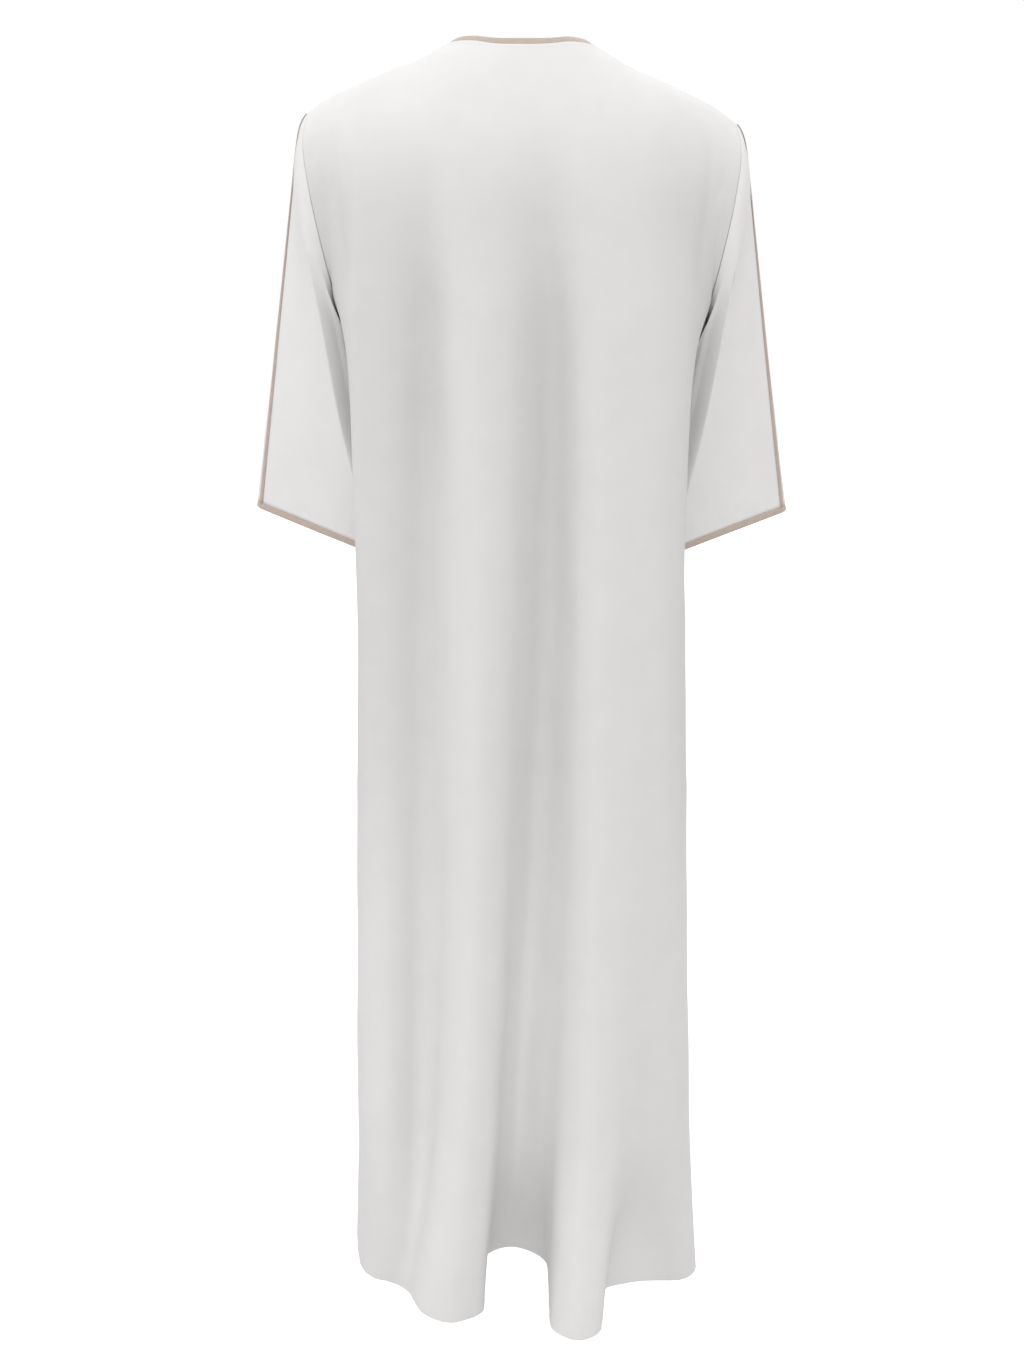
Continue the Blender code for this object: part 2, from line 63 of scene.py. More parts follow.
SHOULDER_LINE = (
    # out, height (mm)
    (-40.0, 15.4),
    (0.0, 25.2),
    (40.0, 15.4),
    (75.5, -3.5),
    (113.0, -24.0),
    (150.0, -39.5),
    (178.0, -51.5),
    (211.0, -68.0),
    (228.5, -81.2),
)
SHOULDER_HALF = 228.5 * MM
SHOULDER_SEAM_Y = -6 * MM
NECK_HALF = 75.5 * MM
NECK_BACK_REACH = 72 * MM
NECK_BACK_LEAN = 0.65
NECK_V_DROP = 172 * MM
ARMHOLE_TOP = -81.2 * MM
ARMHOLE_BOTTOM = -285 * MM
ARMHOLE_BACK_REACH = 58 * MM
ARMHOLE_FRONT_REACH = 50 * MM
ARMHOLE_LINE = (
    # height, out (mm)
    (-285.0, 197.5),
    (-220.0, 212.5),
    (-161.0, 225.0),
    (-110.0, 232.2),
    (-81.2, 228.5),
)
ARMHOLE_BLEND = 0.17
CHEST_DROP = -ARMHOLE_BOTTOM
CHEST_HALF = 199 * MM
CHEST_BACK_DEPTH = 112 * MM
CHEST_FRONT_DEPTH = 118 * MM
CHEST_SQUARENESS = 4.0
RING_STEPS = 241
YOKE_ROUNDING = 4
FOLDS_BEGIN = 0.30
ARM_PRESS = (
    # height, press (mm)
    (-800.0, 0.0),
    (-710.0, 6.0),
    (-620.0, 27.0),
    (-555.0, 42.0),
    (-485.0, 42.0),
    (-400.0, 31.0),
    (-330.0, 14.0),
    (-285.0, 0.0),
)
PRESS_FADE_BACK = (22 * MM, 84 * MM)
PRESS_FADE_FRONT = (90 * MM, 130 * MM)
PRESS_FADE_X = (70 * MM, 160 * MM)
FOLD_DROPS = np.array([285, 750, 1170, 1365]) * MM
BACK_FOLDS = (
    # line               chest          hip            shin           hem            lift
    ("left_seam",        (197.5, 0),    (178, 0),      (184, 0),      (190, 0),      0),
    ("left_side",        (199, 32),     (183, 36),     (185, 40),     (183, 46),     0),
    ("left_ridge",       (180, 91),     (176, 84),     (175, 80),     (166, 84),     1),
    ("left_small_ridge", (144, 94),     (144, 98),     (147, 106),    (147, 97),     2),
    ("left_trough",      (106, 89),     (108, 87),     (114, 96),     (128, 114),    0),
    ("left_lobe_rise",   (72, 114),     (74, 120),     (86, 132),     (108, 157),    -9),
    ("left_lobe_crest",  (42, 123),     (44, 136),     (58, 150),     (78, 170),     -13),
    ("left_lobe_fall",   (12, 116),     (18, 125),     (33, 140),     (41, 147),     -8),
    ("middle_foot",      (-10, 103),    (-4, 102),     (14, 98),      (42, 64),      17),
    ("middle_trough",    (-30, 96),     (-24, 89),     (1, 82),       (12, 48),      24),
    ("right_foot",       (-44, 104),    (-40, 101),    (-20, 96),     (-29, 72),     13),
    ("right_lobe_rise",  (-64, 116),    (-62, 125),    (-48, 138),    (-31, 168),    -17),
    ("right_lobe_crest", (-88, 120),    (-86, 134),    (-74, 155),    (-62, 200),    -20),
    ("right_lobe_fall",  (-112, 117),   (-110, 128),   (-98, 146),    (-87, 184),    -16),
    ("right_hollow",     (-134, 111),   (-132, 119),   (-122, 122),   (-92, 116),    2),
    ("right_plain",      (-156, 102),   (-152, 106),   (-148, 103),   (-134, 92),    1),
    ("right_ridge",      (-178, 88),    (-178, 80),    (-179, 79),    (-182, 80),    -2),
    ("right_side",       (-199, 32),    (-183, 36),    (-190, 42),    (-199, 48),    0),
    ("right_seam",       (-197.5, 0),   (-178, 0),     (-187, 0),     (-195, 0),     0),
)
FRONT_FOLDS = (
    # line               chest          hip            shin           hem            lift
    ("left_seam",        (197.5, 0),    (178, 0),      (184, 0),      (190, 0),      0),
    ("left_side",        (199, 32),     (183, 40),     (188, 46),     (193, 52),     0),
    ("left_ridge",       (180, 88),     (166, 104),    (166, 120),    (168, 132),    -3),
    ("left_trough",      (130, 107),    (124, 104),    (118, 98),     (114, 86),     7),
    ("left_lobe_rise",   (96, 116),     (92, 124),     (88, 132),     (84, 150),     -4),
    ("left_lobe_crest",  (68, 121),     (66, 137),     (60, 158),     (54, 180),     -9),
    ("left_lobe_fall",   (38, 119),     (38, 128),     (32, 134),     (26, 152),     -4),
    ("middle_trough",    (4, 114),      (6, 112),      (2, 102),      (-4, 84),      10),
    ("right_lobe_rise",  (-30, 118),    (-26, 124),    (-30, 130),    (-36, 146),    -4),
    ("right_lobe_crest", (-62, 121),    (-58, 136),    (-60, 156),    (-68, 186),    -10),
    ("right_lobe_fall",  (-92, 117),    (-88, 126),    (-90, 136),    (-98, 156),    -4),
    ("right_trough",     (-124, 108),   (-120, 105),   (-122, 98),    (-130, 92),    6),
    ("right_ridge",      (-178, 88),    (-165, 102),   (-168, 117),   (-174, 128),   -3),
    ("right_side",       (-199, 32),    (-184, 40),    (-191, 46),    (-200, 52),    0),
    ("right_seam",       (-197.5, 0),   (-178, 0),     (-187, 0),     (-195, 0),     0),
)
SHOULDER_LEAN = 0.024
LEAN_BEGINS = (20 * MM, 90 * MM)
LEAN_FADES = (300 * MM, 620 * MM)
SLEEVE_BACK_LINES = (
    # line               turn   x      y
    ("over_arm",         0,     290,   -34),
    ("outer_back",       26,    268,   -24),
    ("back",             58,    226,   -9),
    ("back_crease",      92,    168,   7),
    ("inner_back",       135,   157,   -12),
    ("underarm",         180,   154,   -40),
)
SLEEVE_FRONT_LINES = (
    # line               turn   x      y
    ("over_arm",         0,     290,   -34),
    ("outer_edge",       20,    294.5, -47),
    ("outer_front",      46,    276,   -62),
    ("front",            84,    222,   -77),
    ("front_crease",     112,   170,   -87),
    ("inner_front",      146,   157,   -70),
    ("underarm",         180,   154,   -40),
)
CUFF_OUTER_X = 294.5 * MM
CUFF_OUTER_Z = -498.5 * MM
CUFF_SLOPE = 0.35
CAP_ROLL = 9 * MM
UNDERARM_ROLL = 4 * MM
CAP_ROLL_DEPTH = 4 * MM
CAP_ROLL_SHARE = 0.022
UNDERARM_STANDOFF = 0.7 * MM
# The back of a sleeve hangs flat from the over-arm seam to a fold beside the body.
FOLD_TURN = math.radians(97)
FOLD_OUT = 9.5 * MM
FOLD_BEGINS = (0.0, 0.12)
FOLD_FADES = (0.5, 1.1)
FOLD_SPREAD = math.radians(27)
FLATNESS = 0.82
FLAT_BEGINS = (0.0, 0.3)
INNER_TURN = math.radians(137)
INNER_SPREAD = math.radians(24)
INNER_IN = 7 * MM
INNER_DROP = 12 * MM
INNER_DROP_TURN = math.radians(20)
INNER_DROP_FADES = (math.radians(130), math.radians(165))
INNER_BEGINS = (0.03, 0.25)
INNER_FADES = (0.45, 0.75)
UNDERARM_TUCK = 6 * MM
TUCK_TURNS = (math.radians(115), math.radians(170))
TUCK_BEGINS = (0.0, 0.16)
TUCK_FADES = (0.3, 0.62)

# Creases ---------------------------------------------------------------------------------

# Each crease is a line of x, z, lift and width (mm), seen from behind or from the front. A
# lift above 0 is a ridge, and below 0 a trough.
BACK_CREASES = (
    # Left trough.
    ((100, -120, 0, 26), (101, -190, -6, 22), (102, -270, -11, 19), (104, -380, -12, 18),
     (106, -480, -9.5, 18), (108, -694, -8, 17), (109, -915, -7, 16), (110, -1029, -5, 15),
     (110, -1143, -3, 15), (108, -1300, 0, 16)),
    # Middle trough.
    ((-27, -100, 0, 24), (-29, -160, -4, 22), (-30, -230, -8, 19), (-30, -370, -11, 17),
     (-28, -586, -11, 17), (-23, -694, -10, 17), (-17, -804, -9, 16), (-11, -915, -7, 15),
     (-3, -1029, -5, 14), (4, -1143, -3, 14), (12, -1260, 0, 14)),
    # Left ridge.
    ((177, -130, 0, 5), (176, -180, 2.5, 5), (176, -300, 3, 5), (176, -540, 2.5, 6),
     (176, -700, 0, 8)),
    # Creases beside the left armhole.
    ((198, -92, 0, 4), (198, -125, -2.5, 5), (192, -186, -3, 6), (187, -226, -3, 8),
     (184, -285, 0, 9)),
    ((216, -122, 0, 3), (207, -150, -2, 3.5), (200, -172, 0, 4)),
    ((219, -98, 0, 4), (219, -112, -1.5, 4), (219, -130, 0, 4)),
    # The same beside the right armhole.
    ((-198, -96, 0, 4), (-199, -130, -2.5, 5), (-193, -190, -3, 6), (-188, -230, -3, 8),
     (-185, -290, 0, 9)),
    ((-217, -128, 0, 3), (-208, -156, -2, 3.5), (-201, -178, 0, 4)),
)
FRONT_CREASES = (
    # Left trough.
    ((130, -150, 0, 22), (128, -240, -4, 20), (124, -480, -7, 18), (121, -800, -6, 17),
     (117, -1100, -3, 15), (114, -1300, 0, 14)),
    # Middle trough.
    ((5, -230, 0, 16), (4, -300, -4, 18), (6, -520, -8, 18), (4, -800, -8, 17), (0, -1060, -5, 15),
     (-4, -1280, 0, 14)),
    # Right trough.
    ((-124, -140, 0, 22), (-122, -250, -5, 20), (-119, -500, -6, 18), (-121, -820, -6, 17),
     (-126, -1120, -3, 15), (-130, -1290, 0, 14)),
    # Soft drags from the point of the neck.
    ((14, -176, 0, 5), (27, -205, -1.6, 7), (42, -262, 0, 10)),
    ((-13, -180, 0, 5), (-30, -222, -1.8, 7), (-41, -290, 0, 10)),
    # Creases beside the armholes.
    ((199, -96, 0, 4), (196, -132, -2.5, 5), (189, -190, -3, 6), (182, -250, 0, 8)),
    ((215, -130, 0, 3), (206, -160, -1.8, 4), (198, -190, 0, 4)),
    ((-198, -100, 0, 4), (-195, -140, -2.5, 5), (-187, -204, -3, 6), (-181, -262, 0, 8)),
    ((-216, -124, 0, 3), (-207, -152, -2, 4), (-199, -176, 0, 4)),
)
SLEEVE_BACK_CREASES = (
    # Puckers above the cuff.
    ((226, -519, 0.5, 2.5), (228, -510, 1.3, 2.5), (236, -497, 0.8, 3), (246, -484, 0, 3.5)),
    ((236, -516, -0.5, 2), (240, -506, -1.1, 2.5), (249, -494, 0, 3)),
    ((208, -526, 0.5, 2.5), (209, -514, 1.0, 3), (214, -498, 0, 3.5)),
    ((256, -509, 0.4, 2), (259, -500, 0.9, 2.5), (264, -489, 0, 3)),
    ((190, -532, 0.4, 2), (190, -520, 0.9, 3), (193, -504, 0, 3)),
    # Long soft bends above the elbow.
    ((262, -292, 0, 8), (250, -330, -1.2, 9), (232, -382, 0, 10)),
    ((266, -390, 0, 8), (247, -424, 1.1, 9), (222, -466, 0, 10)),
)
SLEEVE_FRONT_CREASES = (
    # Puckers above the cuff.
    ((232, -518, 0.5, 2.5), (234, -507, 1.2, 2.5), (241, -494, 0, 3.5)),
    ((214, -524, -0.4, 2), (216, -513, -1.0, 2.5), (222, -499, 0, 3)),
    ((254, -510, 0.5, 2.5), (257, -499, 1.0, 3), (263, -486, 0, 3.5)),
    # Bends in front of the elbow.
    ((266, -330, 0, 7), (246, -352, -3, 8), (222, -366, -2.5, 8), (203, -372, 0, 8)),
    ((262, -300, 0, 7), (243, -318, 2.2, 8), (222, -330, 0, 8)),
    ((270, -372, 0, 8), (250, -396, 1.8, 9), (224, -412, 0, 9)),
    ((262, -236, 0, 7), (248, -268, -2, 8), (232, -296, 0, 8)),
)
CREASE_SAMPLES = 120
CREASE_CORE = 0.3
CREASE_REACH = 5  # widths beyond which a crease no longer lifts the cloth

# Grids -----------------------------------------------------------------------------------

SHOULDER_COLUMNS = 50
NECK_COLUMNS = 76
NECK_COLUMNS_NEAR_CORNER = 0.6
YOKE_ROWS = 74
SKIRT_ROWS = 182
SLEEVE_COLUMNS = 96
SLEEVE_ROWS = 104
COLUMN_FIRST = 0.3
COLUMN_GROWTH = 0.2
ROW_FIRST = 0.15
ROW_GROWTH = 0.05

# How the cloth swells, softens and wrinkles ----------------------------------------------

SEAM_ROLL = 2.2 * MM
SEAM_SWELL = 7 * MM
SEAM_HEIGHT = 0.5 * MM
SEAM_FADE = 9 * MM
CUFF_FADE = 2 * MM
SWELL_HEIGHT = 4.5 * MM
SWELL_ROLL = 7 * MM
SWELL_WIDTH = 24 * MM
SWELL_BEGINS = (110 * MM, 200 * MM)
SWELL_ENDS = (260 * MM, 330 * MM)
WAVES = (
    # height, then how far apart its waves are along x, y and z (mm), and where they start
    (0.30, 118, 260, 410, 0.4),
    (0.24, -74, 190, 230, 2.1),
    (0.20, 205, -140, 152, 4.4),
    (0.12, 47, 90, -310, 1.2),
)
SOFT_FROM_SIDES = 24 * MM
SOFT_FROM_TOP = 20 * MM
CHEST_REACH = (60 * MM, 100 * MM)
CHEST_ROUNDS = 60
FOLD_ROUNDS = 14
HEM_SOFTENING = 0.12
HEM_CRISP = (-1180 * MM, -1000 * MM)
# Painted shade on the crepe follows its folds, from PAINTED_SHADE_DARKEST down to
# PAINTED_SHADE_LIGHTEST. It begins below the shoulders, swings about PAINTED_SHADE_PLAIN with the
# depth of the fold, is painted dark at the sides of the body, and turns round towards the hem,
# where hollows and crests are both painted lighter.
PAINTED_SHADE_DARKEST = 1.4
PAINTED_SHADE_LIGHTEST = -1.0
PAINTED_SHADE_ROUNDS = 500
PAINTED_SHADE_FOLD_DEPTH = 14 * MM
PAINTED_SHADE_BEGINS = (60 * MM, 190 * MM)
PAINTED_SHADE_ENDS = (660 * MM, 1120 * MM)
PAINTED_SHADE_PLAIN = 0.3
PAINTED_SHADE_SWING = 0.4
HEM_HOLLOW_PAINTED_LIGHT = 1.5
HEM_CREST_PAINTED_LIGHT = 0.75
PAINTED_SIDE_SHADE_REACH = (70 * MM, 150 * MM)
PAINTED_SIDE_SHADE_SWING = 2
CREASE_SHADE_DEPTH = 16 * MM
CREASE_SHADE_FADES = (420 * MM, 640 * MM)

# Hem, tapes and stitches -----------------------------------------------------------------

HEM_RADIUS = 0.8 * MM
# How far above the hem edge the last rows of the cloth lie.
HEM_ROWS = np.array([7, 5.5, 4, 2.4, 0.8]) * MM
HEM_TURN = np.radians([36, 72, 108, 144])
HEM_STITCH_ROW = 3
HEM_PUCKER = 0.14 * MM
HEM_PUCKER_REACH = 7 * MM
HEM_WAVES = (
    # length (mm), start
    (9.5, 0.0),
    (13.7, 1.1),
    (23.0, 2.6),
)
TAPE_WIDTH = 7 * MM
TAPE_STITCH = 1.1 * MM
NECK_STITCH = 5.5 * MM
# How far over the edge and how high each fold of a tape lies (mm), from its turned-under
# edge outside to the one inside.
BINDING_PROFILE = (
    (0.9, -0.1), (0.1, -0.12), (-0.5, -0.08), (-0.75, 0.1), (-0.5, 0.3), (0.3, 0.4), (1.6, 0.5),
    (3.4, 0.58), (5.2, 0.6), (6.3, 0.5), (6.85, 0.25), (7.1, -0.35), (7.1, -0.95), (6.85, -1.45),
    (6.2, -1.75), (4.8, -1.9), (3.0, -1.92), (1.2, -1.9), (0.0, -1.86), (-0.6, -1.7), (-0.5, -1.45),
    (0.3, -1.38),
)
ARM_TAPE_PROFILE = (
    (-1.2, 0.62), (-2.2, 0.6), (-2.9, 0.68), (-3.1, 0.95), (-2.9, 1.25), (-2.2, 1.42), (-1.0, 1.5),
    (0.0, 1.52), (1.0, 1.5), (2.2, 1.42), (2.9, 1.25), (3.1, 0.95), (2.9, 0.68), (2.2, 0.6),
    (1.2, 0.62),
)
ARM_TAPE_START = 2 * MM
ARM_TAPE_RISE = 2 * MM
ARM_STITCH = 2.2 * MM
STITCH_RISE = 0.2

# What each piece is called, and the width, length and area it is cut to (m, m, m2).
BODY_PIECES = (
    ("back_cloth", 1, BACK_CREASES, "back_panel", (0.87, 1.45, 0.83)),
    ("front_cloth", -1, FRONT_CREASES, "front_panel", (0.88, 1.43, 0.785)),
)
SLEEVE_PIECES = (
    ("back", SLEEVE_BACK_CREASES, (0.26, 0.43, 0.055)),
    ("front", SLEEVE_FRONT_CREASES, (0.26, 0.43, 0.055)),
)

# Finishes and stage ----------------------------------------------------------------------

LAY = "lay"
PAINTED_SHADE_NAME = "painted_shade"
SAME_PLACE = 1e-6
TINY = 1e-12
UNIT_RADIUS = 0.5  # of a shape one metre across, before it is laid or sized
BLACK = (0.0, 0.0, 0.0, 1.0)
WHITE = (1.0, 1.0, 1.0, 1.0)
SPECULAR = 0.35
# A band of the wave texture is this wide at a scale of 1.
WAVE_TURN = math.pi / 10
CLOUD_DETAIL = 3.0
CLOUD_RANGE = (0.3, 0.7)
THREAD_DETAIL = 2.0
THREAD_DETAIL_SCALE = 0.6
# Each finish: the weight and roughness of its sheen, its weave and clouds (m), how far its
# roughness strays, and the strength and height (m) of its bump.
CREPE_SHEEN = (0.12, 0.45)
CREPE_WEAVE = {"Warp": 0.0005, "Weft": 0.0006, "Twist": 2.4}
CREPE_CLOUDS = {"Patch": 0.03, "Low": 0.975, "High": 1.0}
CREPE_SPECKS = (0.965, 1.0)
CREPE_ROUGH_PATCH = 0.012
CREPE_ROUGH_STRAY = (-0.05, 0.04)
CREPE_BUMP = (0.35, 0.00012)
TAPE_SHEEN = (0.2, 0.35)
TAPE_WEAVE = {"Warp": 0.0007, "Weft": 0.0011, "Twist": 0.8}
TAPE_CLOUDS = {"Patch": 0.009, "Low": 0.9, "High": 1.0}
TAPE_SPECKS = (0.84, 1.0)
TAPE_ROUGH_PATCH = 0.006
TAPE_ROUGH_STRAY = (-0.08, 0.06)
TAPE_BUMP = (0.5, 0.00018)
THREAD_ROUGHNESS = 0.55
THREAD_SHEEN = (0.1, 0.4)
THREAD_CLOUDS = {"Patch": 0.0012, "Low": 0.86, "High": 1.0}
THREAD_PLY = {"Patch": 0.0004}
THREAD_BUMP = (0.3, 0.0001)
SENSOR_HEIGHT = 36.0
LENS = 67.38
CAMERA_PLACE = (0.0107, 2.8, -0.18)
CAMERA_FALL = math.radians(10.44)
FLOOR_HALF = 12.0
FLOOR_COLOUR = (0.6, 0.6, 0.6, 1.0)
FLOOR_ROUGHNESS = 0.9
# The floor's glow, which only the camera sees, and how far out it grows (m).
FLOOR_GLOW_REACH = (1.2, 4.0)
FLOOR_GLOW = (0.64, 0.9)
SKY_LIGHT = 0.90
LIGHTS = (
    # where it comes from, how wide it is (degrees), strength
    ("key", (0.06, 0.49, 0.86), 45, 0.32),
    ("frontal", (0.0, 1.0, 0.05), 50, 0.38),
    ("left_side", (0.95, 0.28, 0.12), 60, 0.50),
    ("right_side", (-0.95, 0.28, 0.12), 60, 0.08),
    ("front_fill", (-0.2, -0.60, 0.77), 60, 0.6),
)

# Surfaces --------------------------------------------------------------------------------


def curve_through(knots, values, at):
    """A smooth curve through the values at the knots, which never overshoots them.

    Values holds one row of heights for each place in `at`, or one row for all of them.
    """
    knots = np.asarray(knots, float)
    at = np.clip(np.asarray(at, float), knots[0], knots[-1])
    values = np.broadcast_to(np.atleast_2d(values), (len(at), len(knots)))
    step = np.diff(knots)
    slope = np.diff(values, axis=1) / step
    before, after = slope[:, :-1], slope[:, 1:]
    weight_before = step[:-1] + 2 * step[1:]
    weight_after = 2 * step[:-1] + step[1:]
    same_way = before * after > 0
    mean = (weight_before + weight_after) / (
        weight_before / np.where(same_way, before, 1.0)
        + weight_after / np.where(same_way, after, 1.0)
    )
    tangent = np.concatenate((slope[:, :1], np.where(same_way, mean, 0.0), slope[:, -1:]), axis=1)
    cell = np.clip(np.searchsorted(knots, at, side="right") - 1, 0, len(step) - 1)
    row = np.arange(len(at))
    rise = step[cell]
    t = (at - knots[cell]) / rise
    return (
        (2 * t**3 - 3 * t**2 + 1) * values[row, cell]
        + (t**3 - 2 * t**2 + t) * rise * tangent[row, cell]
        + (3 * t**2 - 2 * t**3) * values[row, cell + 1]
        + (t**3 - t**2) * rise * tangent[row, cell + 1]
    )


def read_table(table, at):
    """The second column of a table in millimetres, read at places in metres on its first."""
    first, second = np.array(table, float).T * MM
    return curve_through(first, second, at)


def ease(low, high, value):
    """0 below low, 1 above high, and a soft step between them."""
    t = np.clip((value - low) / (high - low), 0.0, 1.0)
    return t * t * (3 - 2 * t)


def stacked(x, y, z):
    """Places made of separate x, y and z."""
    x, y, z = np.broadcast_arrays(x, y, z)
    return np.stack((x, y, z), axis=-1)


def unit(vectors):
    """The vectors at a length of one."""
    return vectors / np.maximum(np.linalg.norm(vectors, axis=-1, keepdims=True), TINY)


def spaced_by(strides):
    """Fractions from 0 to 1 at the ends of steps of the given lengths."""
    reach = np.concatenate(((0.0,), np.cumsum(strides)))
    return reach / reach[-1]


def finer_at_start(steps, first=COLUMN_FIRST, growth=COLUMN_GROWTH):
    """Fractions from 0 to 1 whose steps are short at the start and soon even."""
    return spaced_by(np.minimum(1.0, first + growth * np.arange(steps)))


def leaning(places):
    """Places of the upright robe, as they lie with its left shoulder higher."""
    moved = places.copy()
    lean = SHOULDER_LEAN * places[..., 0] * ease(*LEAN_BEGINS, np.abs(places[..., 0]))
    moved[..., 2] += lean * (1 - ease(*LEAN_FADES, -places[..., 2]))
    return moved


def armhole_line(reach, hand, turn):
    """The armhole seam; turn is 0 at the shoulder tip and pi at the underarm."""
    middle = (ARMHOLE_TOP + ARMHOLE_BOTTOM) / 2
    radius = (ARMHOLE_TOP - ARMHOLE_BOTTOM) / 2
    z = middle + radius * np.cos(turn)
    x = hand * read_table(ARMHOLE_LINE, z)
    y = SHOULDER_SEAM_Y * (1 + np.cos(turn)) / 2 + reach * np.sin(turn)
    return stacked(x, y, z)


class BodyPanel:
    """The surface of the back or the front, read at fractions across and down.

    Across runs from the left side seam, 0, to the right side seam, 1. Down runs from the
    shoulder line, 0, past the chest, 1, to the hem, 2. The surface has no neck cut out of
    it: the neck is where the grid begins.
    """

    def __init__(self, side, folds, chest_depth, armhole_reach, press_fade):
        self.side = side
        self.chest_depth = chest_depth
        self.armhole_reach = side * armhole_reach
        self.press_fade = press_fade
        pairs = np.array([row[1:5] for row in folds], float) * MM
        self.fold_x = pairs[:, :, 0]
        self.fold_depth = pairs[:, :, 1]
        self.lift = np.array([row[5] for row in folds], float) * MM
        self.fold_across = spaced_by(np.linalg.norm(np.diff(pairs, axis=0), axis=2).mean(axis=1))

    def plain_ring(self, across):
        """The chest ring without its folds, at even spacing round it."""
        turn = np.linspace(0.0, math.pi, RING_STEPS)
        power = 2 / CHEST_SQUARENESS
        x = CHEST_HALF * np.sign(np.cos(turn)) * np.abs(np.cos(turn)) ** power
        y = self.chest_depth * np.sin(turn) ** power
        fraction = spaced_by(np.hypot(np.diff(x), np.diff(y)))
        return np.interp(across, fraction, x), self.side * np.interp(across, fraction, y)

    def folded(self, across, drop):
        """The folded cloth at a drop below the origin, from the chest to the hem."""
        x_lines, depths = (
            np.stack([curve_through(FOLD_DROPS, line, drop) for line in lines], axis=1)
            for lines in (self.fold_x, self.fold_depth)
        )
        x = curve_through(self.fold_across, x_lines, across)
        depth = curve_through(self.fold_across, depths, across)
        beside_arm = (1 - ease(*self.press_fade, depth)) * ease(*PRESS_FADE_X, np.abs(x))
        x = x - np.sign(x) * read_table(ARM_PRESS, -drop) * beside_arm
        lift = curve_through(self.fold_across, self.lift, across) * ease(*FOLD_DROPS[2:], drop)
        return stacked(x, self.side * depth, lift - drop)

    def yoke(self, across, down):
        """From the shoulder line, 0, to the chest, 1, as if no neck were cut out of it."""
        chest = self.folded(across, np.full_like(across, CHEST_DROP))
        plain_x, plain_y = self.plain_ring(across)
        inward = ease(0.0, 1.0, down)
        reach = 1 - (1 - down) ** YOKE_ROUNDING
        fall = (1 - np.cos(math.pi * down)) / 2
        folds = ease(FOLDS_BEGIN, 1.0, down)
        top_x = SHOULDER_HALF * (1 - 2 * across)
        top_z = read_table(SHOULDER_LINE, np.abs(top_x))
        x = top_x + (plain_x - top_x) * inward + (chest[:, 0] - plain_x) * folds
        y = SHOULDER_SEAM_Y + (plain_y - SHOULDER_SEAM_Y) * reach + (chest[:, 1] - plain_y) * folds
        z = top_z + (chest[:, 2] - top_z) * fall
        surface = stacked(x, y, z)
        side_x = SHOULDER_HALF + (CHEST_HALF - SHOULDER_HALF) * inward
        side_x = side_x + (ARMHOLE_LINE[0][1] * MM - CHEST_HALF) * folds
        side_z = ARMHOLE_TOP + (ARMHOLE_BOTTOM - ARMHOLE_TOP) * fall
        for hand in (1, -1):
            plain_edge = stacked(hand * side_x, SHOULDER_SEAM_Y * (1 - reach), side_z)
            armhole = armhole_line(self.armhole_reach, hand, math.pi * down)
            from_edge = across if hand > 0 else 1 - across
            near = np.clip(1 - from_edge / ARMHOLE_BLEND, 0.0, 1.0) ** 2
            surface = surface + near[:, None] * (armhole - plain_edge)
        return surface

    def neck_depth(self, across, inset):
        """How far down the yoke the neck edge lies, moved by inset towards the opening."""
        half = NECK_HALF - inset
        x = SHOULDER_HALF * np.abs(1 - 2 * across)
        inside = np.clip(1 - x / half, 0.0, 1.0)
        if self.side > 0:
            reach = NECK_BACK_REACH - NECK_BACK_LEAN * inset
            _, plain_y = self.plain_ring(across)
            y = reach * np.sqrt(1 - (1 - inside) ** 2)
            return 1 - (1 - y / (plain_y - SHOULDER_SEAM_Y)) ** (1 / YOKE_ROUNDING)
        drop = NECK_V_DROP - inset * math.hypot(NECK_HALF, NECK_V_DROP) / NECK_HALF
        top_z = read_table(SHOULDER_LINE, x)
        edge_z = read_table(SHOULDER_LINE, np.full_like(x, half)) - drop * inside
        fallen = np.clip((top_z - edge_z) / (top_z + CHEST_DROP), 0.0, 1.0)
        return np.arccos(1 - 2 * fallen) / math.pi

    def surface(self, across, down):
        """Places of the whole piece, from the shoulder line to the hem."""
        drop = CHEST_DROP + (FOLD_DROPS[-1] - CHEST_DROP) * np.clip(down - 1, 0.0, 1.0)
        upper = self.yoke(across, np.clip(down, 0.0, 1.0))
        lower = self.folded(across, drop)
        return np.where((down > 1.0)[:, None], lower, upper)

    def neck_edge(self, along, inset):
        """The neck edge from the left shoulder seam, 0, to the right one, 1."""
        half = (NECK_HALF - inset) / SHOULDER_HALF
        across = 0.5 - half * self.neck_spread(along) / 2
        return self.yoke(across, self.neck_depth(across, inset))

    def neck_spread(self, along):
        """How far to the left along the neck, from 1 to -1, each step round its edge is."""
        even = 1 - 2 * along
        if self.side > 0:
            return even + (np.cos(math.pi * along) - even) * NECK_COLUMNS_NEAR_CORNER
        return even

    def grid(self, hem_rows):
        """The fractions across and down of the cloth, with a column on each neck corner.

        Hem rows are the distances above the hem edge of the last rows.
        """
        half = NECK_HALF / SHOULDER_HALF
        shoulder = finer_at_start(SHOULDER_COLUMNS) * (0.5 - half / 2)
        neck = 0.5 - half * self.neck_spread(np.linspace(0, 1, NECK_COLUMNS + 1)[1:-1]) / 2
        across = np.concatenate((shoulder, neck, 1 - shoulder[::-1]))
        start = self.neck_depth(across, 0.0)
        yoke = start + (1 - start) * finer_at_start(YOKE_ROWS)[:, None]
        hem = 2.0 - np.array(hem_rows) / (FOLD_DROPS[-1] - CHEST_DROP)
        skirt = np.concatenate((np.linspace(1.0, hem[0], SKIRT_ROWS + 1)[1:], hem[1:]))
        skirt = np.broadcast_to(skirt[:, None], (len(skirt), len(across)))
        return across, np.concatenate((yoke, skirt))


